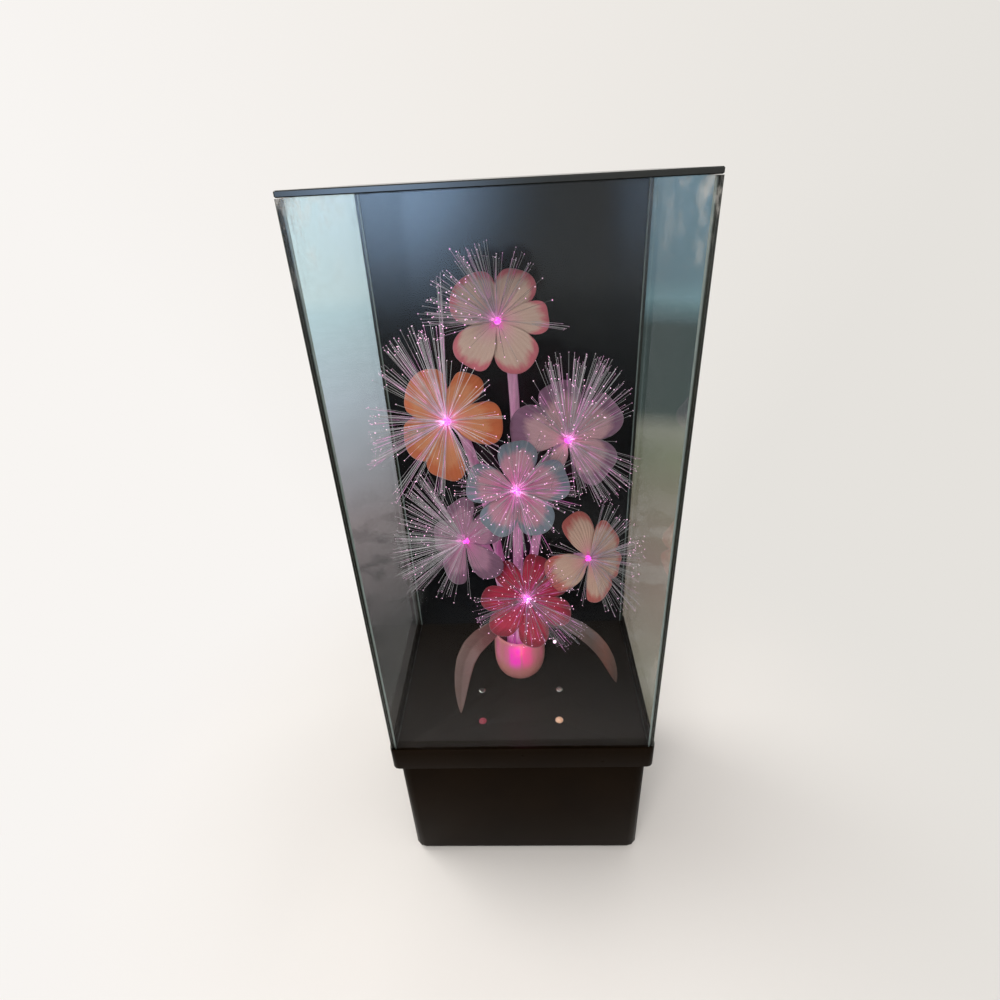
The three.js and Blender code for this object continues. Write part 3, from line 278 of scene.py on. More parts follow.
def plainMaterial(name, low, high, toneMm, roughLow, roughHigh, metallic=0.0, grainMm=0.0, stretch=(1, 1, 1)):
    # One shader for the small parts: two close tones, an uneven finish and a fine grain.
    material, add = newMaterial(name)
    place = add("Mapping", {"Vector": add("TexCoord").outputs["Object"], "Scale": stretch})
    tone = add("TexNoise", [place, 1 / (toneMm * mm), 4, 0.55])
    inputs = {
        "Base Color": add("Mix", [tone, low, high], data_type="RGBA"), "Metallic": metallic,
        "Roughness": add("MapRange", {"Value": tone, "To Min": roughLow, "To Max": roughHigh})}
    if grainMm:
        grain = add("TexNoise", [place, 1 / (grainMm * mm), 2, 0.5])
        inputs["Normal"] = add("Bump", {"Height": grain, "Distance": grainMm * 0.12 * mm})
    add("OutputMaterial", [add("BsdfPrincipled", inputs)])
    return material


def lampGlass(name):
    # Quartz capsule glass: clear with a soft rim of reflection.
    material, add = newMaterial(name)
    clear = add("BsdfTransparent", [(0.93, 0.95, 0.97, 1)])
    gloss = add("BsdfGlossy", {"Roughness": 0.03})
    smoke = add("TexNoise", [add("TexCoord").outputs["Object"], 1 / (5 * mm), 3, 0.5])
    smoke = add("ValToRGB", [smoke], [(0.3, 0.0), (0.9, 0.2)])
    hazy = add("MixShader", [smoke, clear, add("BsdfDiffuse", ["#d9d6d0"])])
    add("OutputMaterial", [add("MixShader", [add("Fresnel", [1.46]), hazy, gloss])])
    return material


def gelFilm(name, colour):
    # Dyed polyester lighting gel: a strong clear tint with a slight ripple.
    material, add = newMaterial(name)
    ripple = add("TexNoise", [add("TexCoord").outputs["Object"], 1 / (12 * mm), 2, 0.5])
    ripple = add("Bump", {"Height": ripple, "Distance": 0.3 * mm})
    film = add("BsdfPrincipled", {"Base Color": colour, "Roughness": 0.2, "Normal": ripple})
    add("OutputMaterial", [add("MixShader", [0.35, add("BsdfTransparent", [colour]), film])])
    return material


# Edge tones are painted: a dark painted shade on every edge, and a lighter painted highlight on the side panes
frontSheet = acrylicPane("clearAcrylicFront", (0.965, 0.975, 0.98, 1), "Y", ("#1c1e19", "#1c1e19"), 0.006)
sideSheet = acrylicPane("clearAcrylicSide", (0.95, 0.97, 0.975, 1), "X", ("#8a9691", "#22241e"))
blackSheet = blackAcrylic("blackAcrylic")
topSheet = blackAcrylic("blackAcrylicTop", "#191a15")
styrene = mouldedBlack("blackStyrene")
rubberBlack = plainMaterial("blackRubber", "#141413", "#1d1c1b", 6, 0.7, 0.9, grainMm=0.6)
zincSteel = plainMaterial(
    "zincPlatedSteel", "#8f8f92", "#b3b2ae", 9, 0.28, 0.42, metallic=1.0, grainMm=0.5, stretch=(1, 8, 1))
nickelScrew = plainMaterial("nickelScrew", "#a39e97", "#cfcac1", 3, 0.12, 0.22, metallic=1.0)
brassTurned = plainMaterial(
    "turnedBrass", "#a5813c", "#c8a557", 5, 0.22, 0.36, metallic=1.0, grainMm=0.4, stretch=(1, 1, 10))
spunAluminium = plainMaterial(
    "spunAluminium", "#c4c5c8", "#dedfe2", 4, 0.12, 0.24, metallic=1.0, grainMm=0.4, stretch=(1, 1, 12))
steatite = plainMaterial("steatiteCeramic", "#cfc6b4", "#ddd6c8", 5, 0.45, 0.6, grainMm=0.7)
switchAbs = plainMaterial("texturedAbs", "#131313", "#1c1c1b", 8, 0.38, 0.52, grainMm=0.5)
nylonWhite = plainMaterial("whiteNylon", "#c9c5ba", "#d8d5cc", 6, 0.4, 0.55, grainMm=0.6)
floralFoam = plainMaterial("floralFoam", "#2a3a22", "#3d4f30", 1.6, 0.85, 0.95, grainMm=0.9)
quartz = lampGlass("quartzGlass")
wheelBlack = plainMaterial("matteStyrene", "#161514", "#201f1d", 10, 0.5, 0.65, grainMm=0.6)
print("shared materials made")

# CAD nodes that keep their shape
nodeMaterials = {
    "front_pane": frontSheet, "left_pane": sideSheet, "right_pane": sideSheet,
    "back_panel": blackSheet, "top_panel": topSheet,
    "stem_holder": floralFoam, "fibre_ferrule": brassTurned, "chassis_plate": zincSteel,
    "wheel_motor": zincSteel, "colour_wheel": wheelBlack, "wheel_hub": brassTurned,
    "gel_magenta": gelFilm("gelMagenta", "#ff3fc0"), "gel_amber": gelFilm("gelAmber", "#ffa030"),
    "gel_green": gelFilm("gelGreen", "#30c060"), "gel_blue": gelFilm("gelBlue", "#3060ff"),
    "lamp_bracket": zincSteel, "lamp_reflector": spunAluminium, "lamp_socket": steatite, "halogen_bulb": quartz,
    "inlet_nut": brassTurned, "terminal_block": nylonWhite,
}
for name, material in nodeMaterials.items():
    nodes[name].data.materials.clear()
    nodes[name].data.materials.append(material)

# Base mouldings, with the small edge radii that moulding gives
mouldings = [
    ("deck_tray", "deckMoulding", 0.5, styrene, "black_moulding"),
    ("base_housing", "tubMoulding", 0.4, styrene, "black_moulding"),
    ("bottom_cover", "coverMoulding", 0.4, styrene, "black_moulding"),
    *[(f"foot_{i}", f"footPad_{i}", 0.4, rubberBlack, "rubber") for i in range(1, 5)],
    ("switch_body", "switchBezel", 0.35, switchAbs, "switch_moulding"),
    ("switch_rocker", "rockerPaddle", 0.4, switchAbs, "switch_moulding"),
    ("power_inlet", "inletBarrel", 0.3, switchAbs, "switch_moulding"),
]
for node, name, bevel, material, slot in mouldings:
    body = "rocker" if node == "switch_rocker" else "lamp_base"
    settle(cadCopy(node, name, bevel), material, [node], body)
print("base mouldings dressed")

# Bouquet: the same places and curves as the CAD bouquet, in millimetres
bouquet = {
    "axisY": 15,
    "deckZ": 135,
    "petalReach": 33,
    "seatPitch": 7.8,
    "sleeveFoot": 12,
    "holderTop": 23,
    "sheetBack": 3.5,
    "collarLength": 6,
    "leadLength": 32,
    "riseShare": 0.42,
    "sleeveRadius": 3.5,
    "bundleRadius": 2.2,
    "coreOut": 1.4,
    "coreRadius": 2.7,
}

# head is over the deck. Petals: angle, half angle, length share, backward bend. Colours: heart, body, rim
flowers = {
    "top": {
        "slot": "petal_cream", "head": (-4.85, -5.04, 309.04), "turn": -5, "tilt": 15, "seat": 90, "size": 0.98,
        "petals": [
            (58, 38, 1.0, 1), (2, 30, 0.98, 0), (-60, 41, 1.06, 2), (-132, 40, 1.06, 1), (138, 52, 1.03, 2)],
        "colours": ("#c8a4a2", "#c3aa9a", "#c06a74"), "rimAt": 0.8, "ruffle": 0.7, "glow": 0.45, "bow": (3, 10),
    },
    "left": {
        "slot": "petal_orange", "head": (-40.25, -12.24, 247.54), "turn": -14, "tilt": 20,
        "seat": 150, "size": 1.06,
        "petals": [
            (0, 38, 1.04, 3), (-92, 34, 1.14, 2), (-146, 40, 1.06, 3), (134, 46, 1.1, 2), (64, 30, 0.98, 5)],
        "colours": ("#cb8c80", "#c98559", "#c2683a"), "rimAt": 0.7, "ruffle": 1.4, "glow": 0.9,
    },
    "right": {
        "slot": "petal_mauve", "head": (38.8, -5.04, 228.05), "turn": 12, "tilt": 22, "seat": 30, "size": 1.14,
        "petals": [
            (25, 33, 1.18, 2), (-42, 40, 1.04, 3), (94, 38, 1.06, 1), (156, 40, 1.06, 2), (236, 26, 0.66, 7)],
        "colours": ("#cfa6a6", "#bd9599", "#835a74"), "rimAt": 0.66, "ruffle": 1.4, "glow": 0.8,
    },
    "centre": {
        "slot": "petal_teal", "head": (3.4, -30.96, 204.37), "turn": 0, "tilt": 30, "seat": None, "size": 0.98,
        "petals": [
            (14, 38, 1.1, 1), (86, 39, 1.04, 2), (166, 38, 1.06, 1), (236, 38, 1.0, 2), (304, 38, 1.02, 1)],
        "colours": ("#dc78a8", "#c68c9c", "#7a8590"), "rimAt": 0.7, "ruffle": 1.1, "glow": 1.0,
    },
    "low_left": {
        "slot": "petal_lavender", "head": (-34.92, -15.12, 155.47), "turn": -30, "tilt": 25,
        "seat": 210, "size": 1.0,
        "petals": [
            (40, 36, 0.96, 2), (112, 36, 0.95, 1), (184, 36, 0.95, 3), (256, 34, 1.06, 2), (-32, 34, 1.02, 4)],
        "colours": ("#bd7c9c", "#a9788f", "#7c546c"), "rimAt": 0.66, "ruffle": 1.3, "glow": 0.5,
    },
    "low_right": {
        "slot": "petal_cream", "head": (54.8, -8.64, 132.55), "turn": 30, "tilt": 25, "seat": 330, "size": 1.0,
        "petals": [
            (188, 40, 1.06, 3), (94, 38, 1.08, 1), (28, 40, 1.0, 1), (-30, 34, 0.96, 2), (-84, 32, 1.08, 1)],
        "colours": ("#cfa098", "#cbab97", "#bd655c"), "rimAt": 0.78, "ruffle": 1.0, "glow": 0.3,
    },
    "bottom": {
        "slot": "petal_crimson", "head": (7.76, -28.08, 111.54), "turn": 5, "tilt": 36,
        "seat": 270, "size": 1.02,
        "petals": [
            (70, 29, 1.0, 1), (20, 29, 0.94, 3), (-28, 31, 1.06, 2), (-82, 33, 1.1, 4),
            (-138, 32, 1.04, 3), (176, 30, 1.0, 2), (124, 29, 0.96, 1)],
        "colours": ("#c82c62", "#bb2245", "#961f36"), "rimAt": 0.76, "ruffle": 1.9, "glow": 1.0,
    },
}
for name, flower in flowers.items():
    turn, tilt = radians(flower["turn"]), radians(flower["tilt"])
    flower["normal"] = Vector((sin(turn) * cos(tilt), -cos(turn) * cos(tilt), sin(tilt)))
    flower["across"] = Vector((0, 0, 1)).cross(flower["normal"]).normalized()
    flower["up"] = flower["normal"].cross(flower["across"]).normalized()
    flower["centre"] = Vector(flower["head"]) + Vector((0, 0, bouquet["deckZ"]))
    flower["reach"] = bouquet["petalReach"] * flower["size"]
    angle = radians(flower["seat"] or 0)
    out = bouquet["seatPitch"] if flower["seat"] is not None else 0
    flower["foot"] = Vector((
        out * cos(angle), bouquet["axisY"] + out * sin(angle), bouquet["deckZ"] + bouquet["sleeveFoot"]))


def petalMaterial(name, heart, body, rim, rimAt):
    # Polyester silk, die-cut, dyed and heat pressed: matte cloth with a soft sheen, a fine weave, pressed veins
    # and dye that deepens towards the rim. The heart is painted magenta, a painted glow from the lit core.
    material, add = newMaterial(name)
    uv = add("UVMap", uv_map="UVMap")
    split = add("SeparateXYZ", [uv])
    across = add("Math", [split.outputs["X"], 0.5], operation="SUBTRACT")
    across = add("Math", [across], operation="ABSOLUTE")
    blot = add("TexNoise", [add("Mapping", {"Vector": uv, "Scale": (2.2, 0.7, 1)}), 1 / 0.22, 4, 0.6])
    blot = add("Math", [add("Math", [blot, 0.5], operation="SUBTRACT"), 0.3], operation="MULTIPLY")
    rimward = add("Math", [across, 0.22], operation="MULTIPLY")
    rimward = add("Math", [split.outputs["Y"], rimward], operation="ADD")
    rimward = add("Math", [rimward, blot], operation="ADD")
    # The first stop paints the hearts magenta on every flower: a painted glow from the lit core
    colour = add("ValToRGB", [rimward], [
        (0.0, "#d968b8"), (0.14, heart), (0.5, body), (rimAt, body), (rimAt + 0.16, rim)])
    streaks = add("TexNoise", [add("Mapping", {"Vector": uv, "Scale": (1.0, 0.08, 1)}), 1 / 0.05, 2, 0.5])
    streaks = add("Math", [streaks, 0.3], operation="MULTIPLY")
    colour = add("Mix", [streaks, colour, rim], data_type="RGBA", blend_type="MULTIPLY")
    # Weave drawn at 0.5 mm a thread, twice the real pitch, so that it shows
    place = add("TexCoord").outputs["Object"]
    weave = [
        add("TexWave", [place, 1 / (0.5 * mm) / 6.28, 0.4, 0.0], bands_direction=axis).outputs["Fac"]
        for axis in ("X", "Z")]
    weave = add("Math", [add("Math", weave, operation="ADD"), 0.06], operation="MULTIPLY")
    fan = add("Mapping", {"Vector": uv, "Scale": (1.0, 0.04, 1)})
    fan = add("TexWave", [fan, 3.4, 1.2, 2.0], bands_direction="X").outputs["Fac"]
    pressed = add("Math", [weave, fan], operation="ADD")
    shader = add("BsdfPrincipled", {
        "Base Color": colour, "Roughness": 0.78, "Sheen Weight": 0.25, "Sheen Roughness": 0.4,
        "Normal": add("Bump", {"Height": pressed, "Strength": 0.6, "Distance": 0.35 * mm})})
    # Cloth lets some light through
    add("OutputMaterial", [add("MixShader", [0.22, shader, add("BsdfTranslucent", [colour])])])
    return material


petal = {
    "acrossCuts": 14, "alongCuts": 16, "holeRadius": 3.4, "cloth": 0.35, "bowl": 3.0, "curl": 4.2,
    "overlap": 0.8}


def makePetal(flower, index, angle, half, lengthShare, bend):
    bpy.ops.mesh.primitive_grid_add(
        x_subdivisions=petal["acrossCuts"], y_subdivisions=petal["alongCuts"], size=2)
    made = active()
    chance = random.Random(31 * index + int(angle) + len(flower["petals"]))
    phase, waves = chance.uniform(0, 6.28), chance.uniform(2.2, 3.6)
    reach = flower["reach"] * lengthShare
    pointed = 0.24 if len(flower["petals"]) > 5 else 0.16
    for vertex in made.data.vertices:
        # u runs from side to side, -1 to 1, and t from the heart to the rim
        u, t = vertex.co.x, (vertex.co.y + 1) / 2
        rim = 1 - pointed * abs(u) ** 2.6 - 0.1 * abs(u) ** 7 + 0.02 * sin(5 * u + phase)
        radius = petal["holeRadius"] + t * (reach * rim - petal["holeRadius"])
        pinch = 0.9 + 0.1 * sin(pi * min(t * 1.1, 1))
        theta = radians(angle + half * u * pinch * (1 - 0.1 * t ** 3))
        out = radius / flower["reach"]
        # Pressed form: a bowl whose rim curls back, a middle crease and a ruffled rim
        height = petal["bowl"] * sin(pi * min(out, 1) * 0.75) - petal["curl"] * out ** 4
        height += petal["overlap"] * u * min(t * 3, 1) + 0.5
        height -= 0.9 * exp(-(u / 0.13) ** 2) * out * (1 - 0.6 * out)
        height += flower["ruffle"] * sin(waves * u * 2 + phase) * t ** 3 * (0.3 + abs(u))
        height -= bend * t ** 2.2
        place = flower["across"] * (radius * cos(theta)) + flower["up"] * (radius * sin(theta))
        vertex.co = (flower["centre"] + place + flower["normal"] * height) * mm
    return made


def makeFlower(name, flower):
    petals = [makePetal(flower, i, *shape) for i, shape in enumerate(flower["petals"])]
    made = joined(petals, "silkFlower_" + name)
    modify(made, "SUBSURF", levels=1, render_levels=1)
    modify(made, "SOLIDIFY", thickness=petal["cloth"] * mm, offset=0)
    applyModifiers(made)
    bpy.ops.object.shade_smooth()
    material = petalMaterial("silk_" + name, *flower["colours"], flower["rimAt"])
    settle(made, material, ["flower_" + name])


for name, flower in flowers.items():
    makeFlower(name, flower)
print("silk flowers made")


def newCurve(name, radius, roundness):
    data = bpy.data.curves.new(name, "CURVE")
    data.dimensions = "3D"
    data.bevel_depth, data.bevel_resolution, data.use_fill_caps = radius * mm, roundness, True
    return data


# A round tube along every stem, from a height over the deck to the flower's back or its front
def stemCurve(name, radius, start, inner=0.0):
    data = newCurve(name, radius, 3)
    data.resolution_u = 14
    for flower in flowers.values():
        rise = flower["foot"].copy()
        rise.z = bouquet["deckZ"] + bouquet["holderTop"]
        end = flower["centre"] - flower["normal"] * bouquet["sheetBack"]
        bendEnd = end - flower["normal"] * (bouquet["collarLength"] + 1)
        lift = bouquet["riseShare"] * (bendEnd.z - rise.z)
        lead = bendEnd - flower["normal"] * (bouquet["leadLength"] - bouquet["collarLength"])
        bow = flower.get("bow", (0, 0))
        last = flower["centre"] + flower["normal"] * inner if inner else end
        points = [
            (flower["foot"], flower["foot"], rise),
            (rise, rise - Vector((0, 0, 4)), rise + Vector((bow[0], 0, lift))),
            (bendEnd, lead + Vector((bow[1], 0, 0)), bendEnd + flower["normal"] * 2),
            (last, last - flower["normal"], last)]
        if start:
            axis = Vector((0, bouquet["axisY"], 0))
            trunk = axis + (flower["foot"] - axis) * 0.45
            trunk.z = start
            neck = Vector((trunk.x, trunk.y, bouquet["deckZ"]))
            points = [(trunk, trunk, neck), (neck, neck - Vector((0, 0, 3)), neck + Vector((0, 0, 5)))] + points
            points[2] = (flower["foot"], flower["foot"] - Vector((0, 0, 5)), rise)
        spline = data.splines.new("BEZIER")
        spline.bezier_points.add(len(points) - 1)
        for knot, (place, before, after) in zip(spline.bezier_points, points):
            knot.handle_left_type = knot.handle_right_type = "FREE"
            knot.co, knot.handle_left, knot.handle_right = place * mm, before * mm, after * mm
    pick(newObject(name, data))
    bpy.ops.object.convert(target="MESH")
    return smoothed(active(), 40)


def tubeMaterial():
    # Clear vinyl tubing filled with lit fibres: milky mauve, glossy, glowing a little pink from inside.
    material, add = newMaterial("vinylTube")
    place = add("TexCoord").outputs["Object"]
    streaks = add("TexNoise", [
        add("Mapping", {"Vector": place, "Scale": (1.6, 1.6, 0.18)}), 1 / (3.2 * mm), 3, 0.6])
    height = add("SeparateXYZ", [place]).outputs["Z"]
    glow = add("MapRange", [height, 0.165, 0.42, 1.0, 0.4])
    glow = add("Math", [glow, add("ValToRGB", [streaks], [(0.35, 0.25), (0.7, 1.0)])], operation="MULTIPLY")
    shader = add("BsdfPrincipled", {
        "Base Color": add("Mix", [streaks, "#a0788c", "#cfa6ba"], data_type="RGBA"), "Roughness": 0.28,
        "IOR": 1.53, "Emission Color": "#d23fae",
        "Emission Strength": add("Math", [glow, 0.42], operation="MULTIPLY")})
    add("OutputMaterial", [shader])
    return material


tube = tubeMaterial()
sleeves = stemCurve("stemSleeves", bouquet["sleeveRadius"], 0)
settle(sleeves, tube, ["stem_sleeve_" + name for name in flowers])


def makeCollars():
    parts = []
    for flower in flowers.values():
        bpy.ops.mesh.primitive_cylinder_add(vertices=24, radius=3.4 * mm, depth=8 * mm)
        made = active()
        selectFaces(made, lambda face: face.normal.z > 0.9)
        bpy.ops.mesh.extrude_region_move(TRANSFORM_OT_translate={"value": (0, 0, 2 * mm)})
        bpy.ops.transform.resize(value=(1.7, 1.7, 1))
        bpy.ops.object.mode_set(mode="OBJECT")
        place = flower["centre"] - flower["normal"] * 7.4
        turn = flower["normal"].to_track_quat("Z", "Y").to_matrix().to_4x4()
        made.matrix_world = Matrix.Translation(place * mm) @ turn
        modify(made, "BEVEL", width=0.4 * mm, segments=2)
        applyModifiers(made)
        bpy.ops.object.transform_apply(location=True, rotation=True, scale=True)
        parts.append(made)
    settle(smoothed(joined(parts, "flowerCollars"), 40), tube)


makeCollars()
print("stems made")

# Fibre sprays
spray = {
    "radius": 0.1,
    "steps": 6,
    "droop": 2.2,
    "tipRadius": 0.44,
    "insideX": 96,
    "insideFront": -71,
}
groups = {
    "fibres_back": ["top"],
    "fibres_left": ["left", "low_left"],
    "fibres_right": ["right", "low_right"],
    "fibres_front": ["centre", "bottom"],
}

# Tufts: angle round the flower, spread to each side, lean from its axis, fibres, length, shine, lit end's size
tufts = {
    "top": [
        (110, 15, 76, 34, 43, 0.6, 0.5), (86, 6, 74, 8, 38, 0.5, 0.5), (70, 6, 76, 8, 41, 0.55, 0.5),
        (54, 5, 80, 6, 39, 0.35, 0.4), (141, 10, 72, 14, 43, 0.5, 0.6), (170, 12, 80, 16, 43, 0.3, 0.4),
        (-4, 4, 84, 6, 41, 0.4, 0.4), (150, 42, 32, 64, 47, 0.6, 1.0), (-80, 130, 28, 18, 46, 0.5, 0.9)],
    "left": [
        (118, 15, 80, 46, 61, 0.95, 0.8), (98, 8, 78, 20, 60, 0.7, 0.8), (146, 9, 80, 16, 54, 0.6, 0.6),
        (174, 12, 74, 14, 50, 0.5, 0.7), (203, 12, 84, 48, 60, 1.0, 0.5), (238, 6, 82, 16, 61, 0.9, 0.6),
        (269, 5, 80, 12, 50, 0.8, 0.6), (304, 6, 72, 16, 44, 0.8, 0.6), (335, 14, 76, 8, 42, 0.5, 0.9),
        (12, 6, 74, 5, 42, 0.5, 1.0), (38, 6, 70, 5, 41, 0.5, 1.0), (62, 8, 74, 6, 44, 0.5, 0.9),
        (94, 2, 88, 7, 92, 0.4, 0.3), (0, 180, 40, 44, 52, 0.6, 0.9)],
    "right": [
        (57, 9, 80, 46, 57, 0.8, 0.4), (78, 8, 78, 22, 56, 0.6, 0.5), (100, 10, 78, 26, 56, 0.4, 0.6),
        (38, 6, 80, 12, 52, 0.5, 0.5), (20, 8, 80, 6, 46, 0.4, 0.6), (-30, 10, 78, 16, 47, 0.7, 0.5),
        (-48, 8, 78, 22, 50, 0.85, 0.5), (-66, 8, 76, 22, 47, 0.75, 0.5), (-86, 8, 70, 8, 36, 0.5, 0.6),
        (100, 48, 36, 84, 50, 0.5, 1.0), (0, 180, 44, 18, 48, 0.5, 0.8)],
    "centre": [
        (0, 180, 62, 50, 42, 0.2, 0.8), (178, 30, 74, 18, 40, 0.25, 0.6), (5, 25, 74, 18, 42, 0.25, 0.6),
        (-90, 30, 72, 22, 44, 0.3, 0.7), (0, 180, 34, 110, 40, 0.3, 1.0)],
    "low_left": [
        (182, 50, 80, 100, 58, 1.0, 0.3), (141, 10, 78, 22, 58, 0.6, 0.4), (229, 9, 80, 26, 59, 1.0, 0.3),
        (268, 8, 76, 10, 40, 0.4, 0.5), (60, 30, 60, 12, 38, 0.4, 0.9), (120, 60, 36, 44, 46, 0.6, 0.9),
        (0, 180, 40, 34, 44, 0.6, 0.9)],
    "low_right": [
        (60, 8, 76, 8, 44, 0.4, 0.5), (35, 12, 76, 16, 42, 0.4, 0.5), (0, 14, 76, 18, 40, 0.5, 0.5),
        (-30, 12, 78, 18, 40, 0.6, 0.5), (-58, 10, 80, 20, 52, 0.75, 0.4), (-80, 8, 80, 6, 44, 0.5, 0.5),
        (215, 20, 66, 10, 36, 0.4, 0.7), (150, 12, 76, 8, 40, 0.5, 0.6), (-30, 100, 38, 40, 44, 0.5, 0.9)],
    "bottom": [
        (-36, 10, 80, 28, 46, 0.75, 0.4), (-54, 8, 80, 16, 44, 0.7, 0.4), (196, 10, 78, 24, 40, 0.5, 0.5),
        (176, 8, 76, 10, 38, 0.3, 0.6), (90, 60, 66, 24, 36, 0.15, 0.8), (-90, 40, 60, 14, 34, 0.15, 0.8),
        (20, 40, 66, 16, 38, 0.15, 0.8), (0, 180, 32, 110, 38, 0.1, 1.0), (-62, 1, 80, 1, 38.5, 0.9, 4.6)],
}


# True where a fibre would leave the case or pass through another flower
def blocked(point, own):
    if abs(point.x) > spray["insideX"] or point.y < spray["insideFront"]:
        return True
    for name, flower in flowers.items():
        if name == own:
            continue
        offset = point - flower["centre"]
        height = offset.dot(flower["normal"])
        out = sqrt(max(offset.length_squared - height ** 2, 0))
        if -9 < height < 5 and out < flower["reach"] * 0.96:
            return True
    return False


# Springy fibres that lean out from the core, cut short where another flower is in the way
def sprayLines(name):
    flower = flowers[name]
    chance = random.Random(len(name) * 977 + int(flower["head"][2]))
    lines = []
    for angle, spread, lean, count, length, shine, tip in tufts[name]:
        loose = 17 if lean < 60 else 4
        for i in range(count):
            turn = radians(angle + spread * chance.uniform(-1, 1))
            out = radians(max(min(lean + chance.gauss(0, loose), 88), 4))
            flat = flower["across"] * cos(turn) + flower["up"] * sin(turn)
            direction = flower["normal"] * cos(out) + flat * sin(out)
            reach = length * chance.uniform(0.84, 1.03)
            start = flower["centre"] + flower["normal"] * bouquet["coreOut"] + direction * 1.5
            droop = Vector((0, 0, -chance.uniform(0, spray["droop"])))
            points = []
            for k in range(spray["steps"] + 1):
                share = k / spray["steps"]
                point = start + direction * (reach * share) + droop * share ** 2
                if k > 1 and blocked(point, name):
                    break
                points.append(point)
            if len(points) > 3:
                lines.append({
                    "points": points, "shine": shine * chance.uniform(0.6, 1.1), "lit": flower["glow"],
                    "tip": tip * chance.uniform(0.5, 1.05)})
    return lines


def sprayPiece(name, lines):
    data = newCurve(name, spray["radius"], 0)
    for line in lines:
        spline = data.splines.new("POLY")
        spline.points.add(len(line["points"]) - 1)
        for knot, point in zip(spline.points, line["points"]):
            knot.co = (*(point * mm), 1)
    pick(newObject(name, data))
    bpy.ops.object.convert(target="MESH")
    made = active()
    # The ring of points at each step of each fibre carries its way out, its shine and its light
    ring = len(made.data.vertices) // sum(len(line["points"]) for line in lines)
    marks = {key: made.data.attributes.new(key, "FLOAT", "POINT") for key in ("outShare", "shine", "lit")}
    index = 0
    for line in lines:
        for k in range(len(line["points"]) * ring):
            marks["outShare"].data[index].value = (k // ring) / spray["steps"]
            marks["shine"].data[index].value = line["shine"]
            marks["lit"].data[index].value = line["lit"]
            index += 1
    return made


def fibreMaterial():
    # Acrylic optical fibre, drawn and polished: nearly colourless and half clear, lit magenta close to the
    # bundle. Fibres given a higher shine are painted whiter and glow faintly, a painted highlight for the
    # room's light that they catch.
    material, add = newMaterial("opticalFibre")
    out, shine, lit = [
        add("Attribute", attribute_name=name).outputs["Fac"] for name in ("outShare", "shine", "lit")]
    uneven = add("TexNoise", [add("TexCoord").outputs["Object"], 1 / (8 * mm), 2, 0.5])
    uneven = add("ValToRGB", [uneven], [(0.3, 0.6), (0.7, 1.0)])
    shine = add("Math", [shine, uneven], operation="MULTIPLY")
    glow = add("ValToRGB", [out], [(0.0, 1.0), (0.08, 0.55), (0.2, 0.12), (0.4, 0.02), (1.0, 0.01)])
    glow = add("Math", [glow, lit], operation="MULTIPLY")
    # Painted highlight: the shiniest fibres also glow a little
    shineGlow = add("Math", [add("Math", [shine, 4.0], operation="POWER"), 0.22], operation="MULTIPLY")
    shader = add("BsdfPrincipled", {
        "Base Color": add("Mix", [shine, "#6e6a6a", "#eef0ec"], data_type="RGBA"),
        "Roughness": 0.25, "IOR": 1.49,
        "Alpha": add("ValToRGB", [out], [(0.1, 0.9), (0.3, 0.55), (0.6, 0.62), (0.85, 0.9)]),
        "Emission Color": add("ValToRGB", [out], [(0.0, "#ff4ad8"), (0.25, "#e06ac0"), (0.5, "#e6dce2")]),
        "Emission Strength": add("Math", [glow, shineGlow], operation="ADD")})
    add("OutputMaterial", [shader])
    return material


def glowMaterial(name, low, high, blobMm, strength):
    # Cut and lit fibre ends: small points that shine by themselves.
    material, add = newMaterial(name)
    tone = add("TexNoise", [add("TexCoord").outputs["Object"], 1 / (blobMm * mm), 1, 0.5])
    shader = add("BsdfPrincipled", {
        "Base Color": low, "Roughness": 0.3,
        "Emission Color": add("ValToRGB", [tone], [(0.4, low), (0.6, high)]),
        "Emission Strength": strength})
    add("OutputMaterial", [shader])
    return material


fibre = fibreMaterial()
tipGlow = glowMaterial("litFibreEnds", "#f9b0e0", "#fff4f8", 2.5, 1.0)
coreGlow = glowMaterial("litBundleEnds", "#ff3ad2", "#ff6ae4", 1.2, 1.3)


# One small lit bead, copied to the end of every fibre
def tipPiece(name, lines):
    bpy.ops.mesh.primitive_ico_sphere_add(subdivisions=1, radius=spray["tipRadius"] * mm)
    first = active()
    bpy.ops.object.shade_smooth()
    beads = [first] + [newObject(name, first.data.copy()) for line in lines[1:]]
    for bead, line in zip(beads, lines):
        bead.location = line["points"][-1] * mm
        bead.scale = [line["tip"]] * 3
    return joined(beads, name)


for node, members in groups.items():
    side = node.split("_")[1].capitalize()
    lines = [line for member in members for line in sprayLines(member)]
    sprayMade = settle(sprayPiece("fibreSpray" + side, lines), fibre, [node])
    tipsMade = settle(tipPiece("fibreTips" + side, lines), tipGlow)
    sprayMade.visible_glossy = tipsMade.visible_glossy = False  # too fine for the panels' soft reflection
    print(node, "has", len(lines), "fibres")

cores = []
for flower in flowers.values():
    radius = bouquet["coreRadius"] * (0.5 + 0.5 * flower["glow"])
    bpy.ops.mesh.primitive_ico_sphere_add(subdivisions=3, radius=radius * mm)
    made = active()
    bpy.ops.object.shade_smooth()
    made.location = (flower["centre"] + flower["normal"] * bouquet["coreOut"]) * mm
    cores.append(made)
settle(joined(cores, "fibreCores"), coreGlow)
bundles = stemCurve("fibreBundles", bouquet["bundleRadius"], 102.6, inner=0.4)
settle(bundles, coreGlow)
print("fibre sprays made")

# Cup: spun round from its profile. Millimetres over the deck.
cup = {
    "height": 44, "radius": 22, "foot": 14.4, "mouth": 20.6, "bulgeShare": 0.42, "wall": 1.6, "floor": 4,
    "hole": 8.6, "rise": 0.3}


def cupOuter(z):
    bulge = cup["bulgeShare"] * cup["height"]
    if z > bulge:
        return cup["radius"] + (cup["mouth"] - cup["radius"]) * ((z - bulge) / (cup["height"] - bulge)) ** 2
    return cup["foot"] + (cup["radius"] - cup["foot"]) * sqrt(max(1 - ((bulge - z) / bulge) ** 2, 0))


